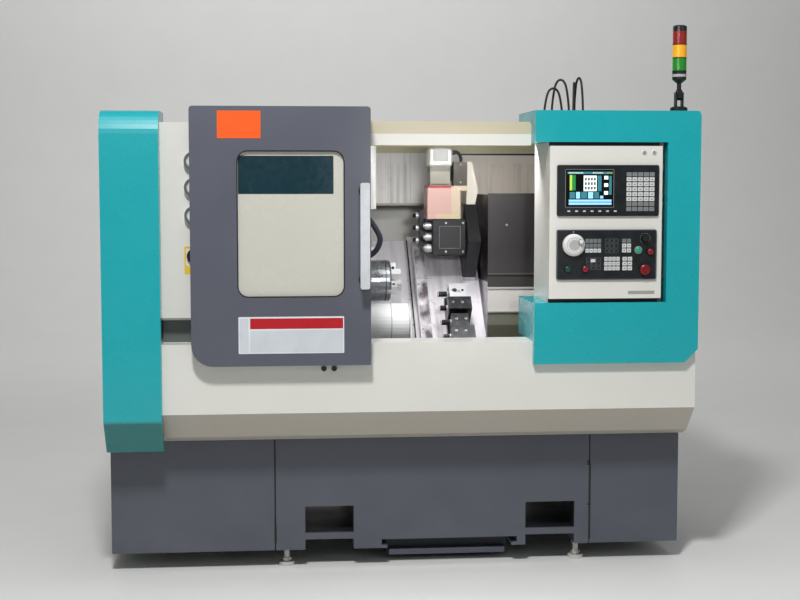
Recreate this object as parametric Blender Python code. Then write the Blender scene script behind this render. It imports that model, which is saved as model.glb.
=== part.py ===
"""Slant-bed turning lathe with gang tools, live tools, a sliding front door and a hinged control panel.

Metres, +Z up. The operator stands at -Y and the spindle lies along X. The origin is on the floor, at the
middle of the machine's width and depth. A station such as X(1.23) is measured from the left end."""
import bpy
import bmesh
from math import atan2, cos, pi, radians, sin
from mathutils import Matrix, Vector

# Clearances
FIT = 0.0003                # between two pieces that touch or turn in one another
SLIDE_GAP = 0.003           # between the door and the sheet metal that it passes
SEAM = 0.0015               # half of an open seam between two covers
PAST = 0.010                # how far a cutter runs past the face that it opens
LAP = 0.010                 # how far a piece reaches into the one that it is joined to

# Whole machine
WIDTH = 2.200
FOOT_HEIGHT = 0.070
BASE_TOP = 0.511
BASE_FRONT = -0.400
BODY_REAR = 0.560
ROOF_TOP = 1.700
SHEET = 0.025               # thickness of a folded enclosure wall
ROOF_SHEET = 0.010
EDGE = 0.003                # rounding of a small panel's edges
STEP = 0.002                # small shoulder, lip or setback


def X(station):
    """Place along the machine, from its left end, as if it were 2.2 m wide. It moves with the real width."""
    share = station / 2.2
    return (share - 0.5) * WIDTH


# Base
BASE_SEAM_LEFT = X(0.621)
BASE_SEAM_RIGHT = X(1.845)
FORK_LEFT = (X(0.735), X(0.922))
FORK_RIGHT = (X(1.593), X(1.787))
FORK_Z = (0.135, 0.239)
SKIRT_CUT_TOP = 0.110
TRAY_X = (X(1.030), X(1.560))
TRAY_TOP = 0.104
TRAY_LEDGE = 0.022
TRAY_LEDGE_TOP = 0.082
TRAY_BOTTOM = 0.020
TRAY_WALL = 0.004
TRAY_Y = (-0.290, 0.420)
TRAY_LIP_DEPTH = 0.030
TRAY_LIP_INSET = 0.011
TRAY_LIP_Z = (0.022, 0.044)
FOOT_X = (X(0.665), X(1.805))
FOOT_Y = (-0.340, 0.490)
FOOT_RADIUS = 0.030
FOOT_PAD = 0.014
STUD_RADIUS = 0.011

# Front apron and left side
SILL = 0.892
APRON_FRONT = -0.604
APRON_CREASE = 0.635
APRON_LOW = (-0.502, 0.533)
APRON_BACK = -0.450
CHANNEL_DEPTH = 0.055
CHANNEL_WALL = 0.020
CHANNEL_LIP = 0.010
STOP_X = (X(0.800), X(0.838))
STOP_Z = 0.800
STOP_STUD = 0.010
STOP_STAND = 0.0085
STRIP_WIDTH = 0.210
STRIP_FRONT = -0.634
STRIP_BACK = -0.330
STRIP_TOP = 1.742
STRIP_RADIUS = 0.085
STRIP_CREASE = 0.617
STRIP_LOW = (-0.530, 0.487)
STRIP_FOLD = 0.030
GAUGE_FRONT = -0.574
GAUGE_LOW = 0.988
GAUGE_RIGHT = X(0.935)
JAMB_BACK = -0.410
GAUGE_X = X(0.331)
GAUGE_Z = (1.560, 1.465, 1.363)
GAUGE_RADIUS = 0.034
GAUGE_PROUD = 0.016
GAUGE_BEZEL = 0.004
GAUGE_SINK = 0.003
SWITCH_Z = 1.214
SWITCH_RADIUS = 0.028
SWITCH_PROUD = 0.026
SWITCH_GRIP = 0.014
SPOUT_RADIUS = 0.045
HATCH = ((-0.290, 0.988), (0.020, 0.988), (0.060, 1.050), (0.060, 1.609), (-0.290, 1.609))
HATCH_DEPTH = 0.004
HATCH_ISLAND = 0.975        # size of the hatch inside its groove

# Header and door
HEADER_LOW = 1.618
HEADER_DEPTH = 0.100
RAIL_WIDTH = 0.025
RAIL_HEIGHT = 0.0067
RAIL_Y = -0.530
DOOR_X = (X(0.320), X(0.970))
DOOR_Z = (0.818, 1.755)
DOOR_FRONT = -0.664
DOOR_THICK = 0.050
DOOR_CORNER = 0.078
DOOR_ROUND = 0.012
DOOR_RETURN = -0.460
DOOR_TOP_RETURN = -0.360
DOOR_EDGE = 0.025
DOOR_SHEET = 0.008
WINDOW_X = (X(0.487), X(0.876))
WINDOW_Z = (1.067, 1.597)
WINDOW_RADIUS = 0.040
WINDOW_RECESS = 0.014
WINDOW_REBATE = 0.012       # how far the pane reaches behind the edge of the window
PANE = 0.006
HANDLE_X = X(0.945)
HANDLE_STAND = 0.066        # from the door to the front of the handle
HANDLE_Z = (1.100, 1.481)
HANDLE_WIDTH = 0.034
HANDLE_THICK = 0.011
HANDLE_POST = 0.009
HANDLE_INSET = 0.030
ROLLER_RADIUS = 0.018
ROLLER_X = (X(0.400), X(0.890))
ROLLER_PIN = 0.006
ROLLER_PIN_END = 0.004
ROLLER_BOSS = 0.009
ROLLER_EDGE = 0.002
ROLLER_WIDTH = 0.022

# Console, control box and signal tower
CONSOLE_X = (X(1.578), WIDTH / 2)
CONSOLE_Z = (0.810, 1.746)
CONSOLE_FRONT = -0.634
CONSOLE_BACK = -0.280
CONSOLE_LOW_BACK = -0.300
CONSOLE_RETURN = 0.065
CONSOLE_INNER_X = X(2.075)
CONSOLE_INNER_Z = (1.037, 1.630)
CONSOLE_CHAMFER = 0.050
CONSOLE_RADIUS = 0.018
PANEL_X = (X(1.632), X(2.055))
PANEL_Z = (1.052, 1.616)
PANEL_THICK = 0.028
PANEL_LOCK_X = (X(1.985), X(2.022))
PANEL_LOCK_Z = 1.592
PANEL_LOCK_RADIUS = 0.009
PANEL_LOCK_STAND = 0.003
HOUSING_DEPTH = 0.270
HOUSING_WALL = 0.012
DISPLAY_X = (X(1.658), X(2.040))
DISPLAY_Z = (1.358, 1.546)
SCREEN_X = (X(1.690), X(1.868))
SCREEN_Z = (1.392, 1.528)
OPERATE_X = (X(1.658), X(2.034))
OPERATE_Z = (1.123, 1.308)
UNIT_PROUD = 0.008
WHEEL_AT = (X(1.720), 1.252)
WHEEL_RADIUS = 0.041
WHEEL_DEPTH = 0.022
WHEEL_GRIP = 0.008
WHEEL_GRIP_REACH = 0.014
BUTTON_RADIUS = 0.011
BUTTON_PROUD = 0.011
BUTTON_STROKE = 0.004
CAP_EDGE = 0.002
STEM_CLEAR = 0.0015
STOP_CAP_RADIUS = 0.019
STOP_CAP_PROUD = 0.020
KNOB_RADIUS = 0.013
KNOB_PROUD = 0.016
SHAFT_RADIUS = 0.005
SHAFT_DEPTH = 0.012
POWER_ON_AT = (X(1.700), 1.163)
POWER_OFF_AT = (X(1.765), 1.163)
CYCLE_START_AT = (X(1.965), 1.232)
FEED_HOLD_AT = (X(2.010), 1.226)
OVERRIDE_AT = (X(1.990), 1.275)
STOP_AT = (X(1.988), 1.160)
TOWER_AT = (X(2.126), -0.586)
TOWER_FOOT_RADIUS = 0.032
TOWER_FOOT_TOP = 1.768
TOWER_BALL_RADIUS = 0.020
TOWER_BALL_Z = 1.806
TOWER_CHEEK = 0.006
TOWER_NECK_RADIUS = 0.008
TOWER_NECK_FLARE = 0.014
TOWER_BASE_Z = (1.862, 1.893)
TOWER_RADIUS = 0.026
LAMP_HEIGHT = 0.049
LAMP_EDGE = 0.002
TOWER_CAP = 0.022

# Spindle
AXIS_Y = -0.064
AXIS_Z = 1.085
HEADSTOCK_X = (X(0.420), X(0.930))
HEADSTOCK_WIDTH = 0.340
HEADSTOCK_ROUND = 0.110
SPINDLE_RADIUS = 0.045
BORE_RADIUS = 0.020
NOSE_RADIUS = 0.062
NOSE_X = X(0.945)
CHUCK_X = (X(0.965), X(1.092))
CHUCK_RADIUS = 0.0825
CHUCK_BACK_RADIUS = 0.070
CHUCK_EDGE = 0.005
JAW_LENGTH = 0.042
JAW_WIDTH = 0.034
JAW_KEY = 0.018
JAW_KEY_DEPTH = 0.016
JAW_INNER = 0.026
JAW_OUTER = 0.074
JAW_STEP = 0.022
JAWS = 3
PULLEY_X = (X(0.340), X(0.385))
PULLEY_RADIUS = 0.070
FLANGE_RADIUS = 0.078
FLANGE_WIDTH = 0.004
CYLINDER_X = (X(0.100), X(0.320))
CYLINDER_RADIUS = 0.075
MOTOR_X = (X(0.060), X(0.315))
MOTOR_Z = 0.665
MOTOR_HALF = 0.105
MOTOR_PULLEY_RADIUS = 0.050
MOTOR_SHAFT = 0.019
MOTOR_FOOT = 0.020
MOTOR_ROUND = 0.030
MOTOR_BORE = 0.040
BELT_THICK = 0.008
BELT_STEPS = 16

# Slant bed and slides, in slope coordinates: s runs up the slope, n leaves it towards the operator
SLOPE = radians(45)
BED_X = (X(0.410), X(2.000))
BED_S = (-0.420, 0.450)
BED_N = -0.300
GUIDE_S = (-0.330, 0.330)
GUIDE_WIDTH = 0.035
GUIDE_TOP = -0.255
SCREW_N = -0.2775
SCREW_RADIUS = 0.016
SCREW_BLOCK = 0.050
SCREW_BLOCK_HALF = 0.036
NUT_X = (X(1.300), X(1.380))
NUT_HALF = 0.030
SADDLE_X = (X(1.205), X(1.504))
SADDLE_S = (-0.360, 0.420)
SADDLE_TOP = -0.195
SADDLE_GUARD = 0.012
GUARD_FRONT = -0.060
GUARD_TOP = 1.430
GUARD_BACK = 0.290
CROSS_RAIL_X = (X(1.245), X(1.445))
CROSS_RAIL_WIDTH = 0.030
CROSS_RAIL_TOP = -0.175
RAIL_INSET = 0.004
CROSS_X = (X(1.215), X(1.480))
CROSS_S = (-0.300, 0.320)
CROSS_TOP = -0.130
COLUMN_X = (X(1.415) + FIT, X(1.465))
COLUMN_S = (0.110, 0.320)
COLUMN_TOP = 0.110
GANG_X = (X(1.322), X(1.415))
GANG_S = (-0.295, -0.010)
GANG_BAR_TOP = -0.100
HOLDERS = 4
HOLDER_GAP = 0.012
HOLDER_TOP = -0.004
HOLDER_STEP = 0.016
TOOL_N = -0.040
TOOL_RADIUS = 0.011
TOOL_REACH = 0.032
LIVE_X = (X(1.275), X(1.415))
LIVE_Y = (0.020, 0.150)
LIVE_PITCH = 0.046
LIVE_SPINDLES = 3
NOSE_REACH = 0.034
COLLET_RADIUS = 0.017
LIVE_LOW = 1.180
LIVE_MARGIN = COLLET_RADIUS + 0.012
LIVE_Z = (LIVE_LOW, LIVE_LOW + LIVE_PITCH * (LIVE_SPINDLES - 1) + 2 * LIVE_MARGIN)
COLLET_PROFILE = ((0, 0.006), (0.006, 0.012), (0.010, 0.012), (0.010, 0.015), (0.013, COLLET_RADIUS))
LIVE_SHAFT = 0.008
LIVE_EDGE = 0.004
LIVE_SPINDLE_Y = LIVE_Y[0] + 0.045
LIVE_BORE = 0.042
COVER_X = (X(1.253), X(1.396))
COVER_TOP = LIVE_Z[1] + 0.136
GEAR_X = (X(1.268), X(1.350))
GEAR_TOP = COVER_TOP + 0.078
LIVE_MOTOR_X = (X(1.261), X(1.359))
LIVE_MOTOR_TOP = GEAR_TOP + 0.077
DRIVE_BOX_X = (X(1.364), X(1.420))
DRIVE_BOX_TOP = COVER_TOP + 0.098
REAR_TOOLS_X = (X(1.234), X(1.300))
REAR_TOOLS_Y = (LIVE_Y[1] - 0.010, LIVE_Y[1] + 0.050)
REAR_TOOLS_Z = (LIVE_Z[0] + 0.033, LIVE_Z[1] + 0.037)
REAR_TOOL_REACH = 0.024
REAR_TOOL_RADIUS = 0.012
REAR_TOOLS = 3
BRACKET_Y = (0.100, 0.106)
BRACKET = ((X(1.427), 1.330), (X(1.448), 1.320), (X(1.476), 1.450), (X(1.449), 1.565), (X(1.427), 1.565))

# Covers and walls inside the work area
LEFT_COVER_START = X(0.870)
LEFT_COVER_N = (-0.207, -0.200)
LEFT_COVER_S = (-0.350, 0.400)
FIXED_COVER_X = (HEADSTOCK_X[1] + FIT, X(1.100))
COVER_SLOT_START = X(0.765)
FIXED_COVER_N = (-0.232, -0.225)
RIGHT_COVER_X = (X(1.492), X(1.900))
RIGHT_COVER_Z = (0.822, 1.436)
RIGHT_COVER_SPLIT = 1.055
RIGHT_COVER = 0.010
RIGHT_COVER_STEP = 0.003
INNER_WALL_Y = 0.330
INNER_WALL = 0.015
INNER_WALL_LOW = 1.380
INNER_GUARD_X = X(1.015)
INNER_GUARD_FRONT = -0.400
INNER_GUARD_RADIUS = 0.060
BULKHEAD = 0.010
BULKHEAD_LOW = 0.800
BULKHEAD_N = -0.190
NOSE_HOLE_RADIUS = 0.100
DRUM_AT = (-0.173, 0.926)
DRUM_RADIUS = 0.075
DRUM_END = X(1.160)

# Cables, hose and rear cabinet
CABLE_PLATE_X = (X(1.815), X(2.005))
CABLE_PLATE_Y = (0.430, 0.545)
CABLE_PLATE = 0.012
CABLE_ARCHES = (((X(1.828), 0.470), (X(1.903), 0.480), 0.185), ((X(1.872), 0.520), (X(1.938), 0.500), 0.225),
                ((X(1.950), 0.445), (X(1.972), 0.525), 0.210), ((X(1.992), 0.450), (X(1.974), 0.530), 0.232))
CABLE_BOW = ((-0.04, 0.45), (0.16, 0.88), (0.5, 1.0), (0.84, 0.88), (1.04, 0.45))     # share across, share up
CABLE_STRAIGHT = 0.020
CABLE_RADIUS = 0.0050
HOSE_TOP = (X(0.985), -0.200, INNER_WALL_LOW - FIT)
HOSE_DROPS = ((0.0, 0.0, 0.0), (0.0, 0.0, -0.012), (0.0, 0.0, -0.024), (0.035, -0.015, -0.075),
              (0.055, -0.020, -0.120), (0.040, -0.015, -0.165), (0.005, 0.005, -0.195))
HOSE_ROUTE = [(HOSE_TOP[0] + dx, HOSE_TOP[1] + dy, HOSE_TOP[2] + dz) for dx, dy, dz in HOSE_DROPS]
HOSE_AIM = Vector((X(1.000), AXIS_Y - 0.030, AXIS_Z + 0.060))
NOZZLE_PROFILE = [(-0.006, 0.013), (0.010, 0.013), (0.034, 0.006)]
HOSE_RADIUS = 0.011
CURVE_STEPS = 4
CABINET_X = (X(1.180), X(2.140))
CABINET_BACK = 0.730
CABINET_Z = (0.560, 1.660)
CABINET_WALL = 0.015
CABINET_DOOR = 0.020
LOCK_INSET = 0.045
LOCK_WIDTH = 0.025
LOCK_HEIGHT = 0.100
LOCK_DEPTH = 0.006
VENT_X = (X(0.300), X(0.820))
VENT_LOW = 0.700
VENT_PITCH = 0.032
VENT_SLOTS = 8
VENT_HEIGHT = 0.014
VENT_DEPTH = 0.006


def clear_scene():
    for thing in list(bpy.data.objects):
        bpy.data.objects.remove(thing, do_unlink=True)


def material(name, color, roughness, metallic=0.0, alpha=1.0):
    found = bpy.data.materials.get(name)
    if found is not None:
        return found
    made = bpy.data.materials.new(name)
    made.use_nodes = True
    shader = made.node_tree.nodes["Principled BSDF"]
    shader.inputs["Base Color"].default_value = (*color, 1.0)
    shader.inputs["Roughness"].default_value = roughness
    shader.inputs["Metallic"].default_value = metallic
    shader.inputs["Alpha"].default_value = alpha
    return made


FINISHES = {
    "white_paint": ((0.70, 0.70, 0.65), 0.40, 0.0),
    "teal_paint": ((0.02, 0.42, 0.45), 0.35, 0.0),
    "base_paint": ((0.093, 0.102, 0.125), 0.55, 0.0),
    "door_paint": ((0.118, 0.125, 0.152), 0.45, 0.0),
    "cast_iron": ((0.30, 0.31, 0.31), 0.50, 0.3),
    "steel": ((0.62, 0.62, 0.62), 0.30, 1.0),
    "bright_cover": ((0.78, 0.78, 0.80), 0.35, 0.3),
    "dark_cover": ((0.045, 0.045, 0.055), 0.45, 0.0),
    "black_steel": ((0.02, 0.02, 0.022), 0.40, 0.5),
    "black_plastic": ((0.015, 0.016, 0.018), 0.45, 0.0),
    "black_rubber": ((0.012, 0.012, 0.012), 0.80, 0.0),
    "panel_film": ((0.026, 0.032, 0.034), 0.50, 0.0),
    "pane": ((0.62, 0.63, 0.55), 0.12, 0.0),
    "green_button": ((0.02, 0.50, 0.12), 0.35, 0.0),
    "dark_green_button": ((0.01, 0.12, 0.05), 0.40, 0.0),
    "red_button": ((0.35, 0.01, 0.01), 0.35, 0.0),
    "green_lamp": ((0.01, 0.25, 0.02), 0.25, 0.0),
    "amber_lamp": ((0.95, 0.50, 0.01), 0.25, 0.0),
    "red_lamp": ((0.32, 0.01, 0.005), 0.25, 0.0),
}


def finish(obj, name):
    color, roughness, metallic = FINISHES[name]
    obj.data.materials.clear()
    obj.data.materials.append(material(name, color, roughness, metallic))
    return obj


def add_mesh(name, mesh_builder, origin=(0, 0, 0)):
    """A new object from a bmesh in world coordinates, with its origin at the given point."""
    bmesh.ops.recalc_face_normals(mesh_builder, faces=mesh_builder.faces)
    bmesh.ops.translate(mesh_builder, vec=-Vector(origin), verts=mesh_builder.verts)
    mesh = bpy.data.meshes.new(name)
    mesh_builder.to_mesh(mesh)
    mesh_builder.free()
    obj = bpy.data.objects.new(name, mesh)
    obj.location = origin
    bpy.context.collection.objects.link(obj)
    return obj


def smooth(obj, angle=35):
    obj.data.shade_smooth()
    obj.data.set_sharp_from_angle(angle=radians(angle))
    return obj


def box(name, x, y, z, origin=(0, 0, 0)):
    """A box between two planes along each axis."""
    shape = bmesh.new()
    bmesh.ops.create_cube(shape, size=1.0)
    size = Vector((x[1] - x[0], y[1] - y[0], z[1] - z[0]))
    middle = Vector(((x[0] + x[1]) / 2, (y[0] + y[1]) / 2, (z[0] + z[1]) / 2))
    bmesh.ops.scale(shape, vec=size, verts=shape.verts)
    bmesh.ops.translate(shape, vec=middle, verts=shape.verts)
    return add_mesh(name, shape, origin)


def prism(name, outline, axis, start, end, origin=(0, 0, 0)):
    """An outline pushed along X, Y or Z. Its points hold the other two coordinates in order."""
    index = "XYZ".index(axis)
    shape = bmesh.new()
    ring = []
    for first, second in outline:
        point = [first, second]
        point.insert(index, start)
        ring.append(shape.verts.new(point))
    face = shape.faces.new(ring)
    pushed = bmesh.ops.extrude_face_region(shape, geom=[face])
    moved = [item for item in pushed["geom"] if isinstance(item, bmesh.types.BMVert)]
    step = Vector((0, 0, 0))
    step[index] = end - start
    bmesh.ops.translate(shape, vec=step, verts=moved)
    return add_mesh(name, shape, origin)


def arc(centre, radius, start, end, steps):
    """Points along an arc, with both ends, angles in degrees."""
    points = []
    for step in range(steps + 1):
        angle = radians(start + (end - start) * step / steps)
        points.append((centre[0] + radius * cos(angle), centre[1] + radius * sin(angle)))
    return points


def rounded(first, second, radius, steps=4):
    """A rectangle with round corners."""
    low_a, high_a = first
    low_b, high_b = second
    points = arc((high_a - radius, high_b - radius), radius, 0, 90, steps)
    points += arc((low_a + radius, high_b - radius), radius, 90, 180, steps)
    points += arc((low_a + radius, low_b + radius), radius, 180, 270, steps)
    points += arc((high_a - radius, low_b + radius), radius, 270, 360, steps)
    return points


def turned(name, profile, axis, origin, segments=24):
    """A revolved solid. The profile lists (place along the axis, radius) from one end to the other."""
    shape = bmesh.new()
    rings = []
    for along, radius in profile:
        ring = []
        if radius <= 0:
            ring.append(shape.verts.new((0, 0, along)))
        else:
            for step in range(segments):
                angle = 2 * pi * step / segments
                ring.append(shape.verts.new((radius * cos(angle), radius * sin(angle), along)))
        rings.append(ring)
    for low, high in zip(rings, rings[1:]):
        for step in range(segments):
            follow = (step + 1) % segments
            if len(low) == 1:
                shape.faces.new((low[0], high[step], high[follow]))
            elif len(high) == 1:
                shape.faces.new((low[step], low[follow], high[0]))
            else:
                shape.faces.new((low[step], low[follow], high[follow], high[step]))
    for ring in (rings[0], rings[-1]):
        if len(ring) > 1:
            shape.faces.new(ring)
    turn = Vector((0, 0, 1)).rotation_difference(Vector(axis)).to_matrix().to_4x4()
    bmesh.ops.transform(shape, matrix=Matrix.Translation(origin) @ turn, verts=shape.verts)
    return smooth(add_mesh(name, shape, origin))


def rod(name, start, end, radius, segments=24):
    """A plain round bar between two points."""
    axis = Vector(end) - Vector(start)
    return turned(name, [(0, radius), (axis.length, radius)], axis.normalized(), start, segments)


def hide_tool(tool):
    tool.hide_render = True
    tool.display_type = "WIRE"
    return tool


def cut(obj, *tools):
    for tool in tools:
        change = obj.modifiers.new("cut_" + tool.name, "BOOLEAN")
        change.operation = "DIFFERENCE"
        change.solver = "EXACT"
        change.object = hide_tool(tool)
    return obj


def join(obj, *tools):
    for tool in tools:
        change = obj.modifiers.new("join_" + tool.name, "BOOLEAN")
        change.operation = "UNION"
        change.solver = "EXACT"
        change.object = hide_tool(tool)
    return obj


def bevel(obj, width, segments=1):
    change = obj.modifiers.new("edges", "BEVEL")
    change.width = width
    change.segments = segments
    change.limit_method = "ANGLE"
    change.angle_limit = radians(40)
    return obj


def slope_point(s, n):
    """Slope coordinates to (y, z)."""
    return (AXIS_Y + s * cos(SLOPE) - n * sin(SLOPE), AXIS_Z + s * sin(SLOPE) + n * cos(SLOPE))


def slope_at_depth(y, n):
    """The (y, z) of the point at that depth on the plane n."""
    return slope_point((y - AXIS_Y + n * sin(SLOPE)) / cos(SLOPE), n)


def slope_at_height(z, n):
    """The (y, z) of the point at that height on the plane n."""
    return slope_point((z - AXIS_Z - n * cos(SLOPE)) / sin(SLOPE), n)


def slope_prism(name, outline, x):
    """An (s, n) outline pushed along X."""
    return prism(name, [slope_point(s, n) for s, n in outline], "X", x[0], x[1])


def slope_box(name, x, s, n):
    outline = [(s[0], n[0]), (s[1], n[0]), (s[1], n[1]), (s[0], n[1])]
    return slope_prism(name, outline, x)


def base():
    """The middle section stands on four screws and has two fork tunnels and the tray's tunnel."""
    y = (BASE_FRONT, BODY_REAR)
    past = (BASE_FRONT - PAST, BODY_REAR + PAST)
    middle = box("base_centre", (BASE_SEAM_LEFT + SEAM, BASE_SEAM_RIGHT - SEAM), y, (FOOT_HEIGHT, BASE_TOP))
    cutters = []
    for side, fork in (("left", FORK_LEFT), ("right", FORK_RIGHT)):
        cutters.append(box("fork_tunnel_" + side, fork, past, FORK_Z))
        cutters.append(box("skirt_cut_" + side, fork, past, (0.0, SKIRT_CUT_TOP)))
    cutters.append(box("tray_tunnel", TRAY_X, past, (TRAY_LEDGE_TOP, TRAY_TOP)))
    between = (TRAY_X[0] + TRAY_LEDGE, TRAY_X[1] - TRAY_LEDGE)
    cutters.append(box("tray_slot", between, past, (0.0, TRAY_LEDGE_TOP + LAP / 2)))
    cut(middle, *cutters)
    feet = []
    for x in FOOT_X:
        for y_foot in FOOT_Y:
            profile = [(0, FOOT_RADIUS), (FOOT_PAD, FOOT_RADIUS), (FOOT_PAD, STUD_RADIUS),
                       (FOOT_HEIGHT + LAP, STUD_RADIUS)]
            feet.append(turned("foot", profile, (0, 0, 1), (x, y_foot, 0), 16))
    join(middle, *feet)
    finish(middle, "base_paint")
    left = box("base_left_cover", (-WIDTH / 2, BASE_SEAM_LEFT - SEAM), y, (FOOT_HEIGHT, BASE_TOP))
    right = box("base_right_cover", (BASE_SEAM_RIGHT + SEAM, WIDTH / 2), y, (FOOT_HEIGHT, BASE_TOP))
    for cover in (left, right):
        finish(bevel(cover, EDGE), "base_paint")
    chip_tray()


def chip_tray():
    """A shallow pan with a lip to pull it by. Its side flanges run on the ledges of the base's tunnel."""
    low = TRAY_BOTTOM
    top = TRAY_TOP - 2 * SLIDE_GAP
    pan_x = (TRAY_X[0] + TRAY_LEDGE + SLIDE_GAP, TRAY_X[1] - TRAY_LEDGE - SLIDE_GAP)
    pan = box("chip_tray", pan_x, TRAY_Y, (low, top))
    flange_z = (TRAY_LEDGE_TOP + FIT, TRAY_LEDGE_TOP + FIT + TRAY_WALL)
    flange_x = (TRAY_X[0] + SLIDE_GAP, TRAY_X[1] - SLIDE_GAP)
    join(pan, box("tray_flange", flange_x, (TRAY_Y[0] + LAP, TRAY_Y[1]), flange_z))
    inner_x = (pan_x[0] + TRAY_WALL, pan_x[1] - TRAY_WALL)
    inner_y = (TRAY_Y[0] + TRAY_WALL, TRAY_Y[1] - TRAY_WALL)
    cut(pan, box("tray_hollow", inner_x, inner_y, (low + TRAY_WALL, top + PAST)))
    lip_x = (pan_x[0] + TRAY_LIP_INSET, pan_x[1] - TRAY_LIP_INSET)
    join(pan, box("tray_lip", lip_x, (TRAY_Y[0] - TRAY_LIP_DEPTH, TRAY_Y[0] + TRAY_WALL / 2), TRAY_LIP_Z))
    finish(pan, "cast_iron")


def front_apron():
    """The white lower front, with its crease, chamfer and the dark channel behind the door."""
    outline = [(APRON_FRONT, SILL), (APRON_FRONT, APRON_CREASE), APRON_LOW,
               (APRON_BACK, BASE_TOP + 2 * FIT), (APRON_BACK, SILL)]
    apron = prism("front_apron", outline, "X", X(STRIP_WIDTH) + FIT, WIDTH / 2)
    channel_y = (GAUGE_FRONT + CHANNEL_DEPTH, GAUGE_FRONT + CHANNEL_DEPTH + CHANNEL_WALL)
    channel_x = (X(STRIP_WIDTH) + FIT, GAUGE_RIGHT)
    channel = box("channel_back", channel_x, channel_y, (SILL - LAP, GAUGE_LOW - FIT))
    lip_y = (GAUGE_FRONT + SHEET + FIT, channel_y[1])
    lip = box("channel_lip", channel_x, lip_y, (GAUGE_LOW - CHANNEL_LIP, GAUGE_LOW - FIT))
    join(apron, channel, lip)
    for x in STOP_X:
        join(apron, rod("door_stop", (x, APRON_FRONT + LAP / 2, STOP_Z),
                        (x, APRON_FRONT - STOP_STAND, STOP_Z), STOP_STUD, 12))
    finish(apron, "white_paint")


def left_strip():
    """The teal corner cover: a lower chamfer, a straight front and a round top that turns back."""
    front = STRIP_FRONT
    outline = [(STRIP_LOW[0], STRIP_LOW[1]), (front, STRIP_CREASE)]
    outline += arc((front + STRIP_RADIUS, STRIP_TOP - STRIP_RADIUS), STRIP_RADIUS, 180, 90, 8)
    outline += [(STRIP_BACK, STRIP_TOP), (STRIP_BACK, ROOF_TOP + FIT), (GAUGE_FRONT - FIT, ROOF_TOP + FIT),
                (GAUGE_FRONT - FIT, APRON_CREASE), (STRIP_LOW[0] + STRIP_FOLD, STRIP_LOW[1])]
    strip = prism("left_strip", outline, "X", -WIDTH / 2, X(STRIP_WIDTH))
    finish(smooth(strip, 30), "teal_paint")


def gauge_panel():
    """The white panel beside the strip with three gauges, and its return beside the opening."""
    y = (GAUGE_FRONT, GAUGE_FRONT + SHEET)
    middle = X(STRIP_WIDTH) - 2 * LAP
    panel = box("gauge_panel", (middle, GAUGE_RIGHT), y, (GAUGE_LOW, ROOF_TOP - FIT))
    filler = box("corner_filler", (-WIDTH / 2 + SHEET + FIT, middle + LAP), y, (SILL + LAP, ROOF_TOP - FIT))
    jamb = box("jamb", (GAUGE_RIGHT - SHEET, GAUGE_RIGHT), (y[0] + LAP, JAMB_BACK),
               (GAUGE_LOW, HEADER_LOW - FIT))
    join(panel, filler, jamb)
    for place, height in enumerate(GAUGE_Z):
        inner = GAUGE_RADIUS - GAUGE_BEZEL
        profile = [(-LAP / 2, GAUGE_RADIUS), (GAUGE_PROUD, GAUGE_RADIUS), (GAUGE_PROUD, inner),
                   (GAUGE_PROUD - GAUGE_SINK, inner)]
        dial = turned("gauge_%d" % (place + 1), profile, (0, -1, 0), (GAUGE_X, GAUGE_FRONT, height), 20)
        join(panel, dial)
    cut(panel, rod("switch_bore", (GAUGE_X, GAUGE_FRONT - PAST, SWITCH_Z),
                   (GAUGE_X, GAUGE_FRONT + SHAFT_DEPTH + 5 * FIT, SWITCH_Z), SHAFT_RADIUS + FIT, 12))
    finish(panel, "white_paint")
    main_switch()


def knob_profile(radius, proud, gap):
    """A knob with a waist and a shaft that turns in the panel behind it."""
    return [(-SHAFT_DEPTH, SHAFT_RADIUS), (gap, SHAFT_RADIUS), (gap, radius), (proud - EDGE, radius * 0.94),
            (proud, radius * 0.82)]


def main_switch():
    origin = (GAUGE_X, GAUGE_FRONT, SWITCH_Z)
    knob = turned("main_switch", knob_profile(SWITCH_RADIUS, SWITCH_PROUD * 0.5, FIT), (0, -1, 0), origin, 20)
    grip = box("switch_grip", (GAUGE_X - SWITCH_GRIP / 2, GAUGE_X + SWITCH_GRIP / 2),
               (GAUGE_FRONT - SWITCH_PROUD, GAUGE_FRONT - SWITCH_PROUD * 0.4),
               (SWITCH_Z - SWITCH_RADIUS * 0.9, SWITCH_Z + SWITCH_RADIUS * 0.9))
    finish(join(knob, grip), "black_plastic")


def side_outline(front):
    """The enclosure's side: it stands on the base and comes forward above the sill."""
    return [(APRON_BACK + FIT, BASE_TOP + FIT), (BODY_REAR - SHEET - FIT, BASE_TOP + FIT),
            (BODY_REAR - SHEET - FIT, ROOF_TOP), (front, ROOF_TOP), (front, SILL + FIT),
            (APRON_BACK + FIT, SILL + FIT)]


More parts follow.
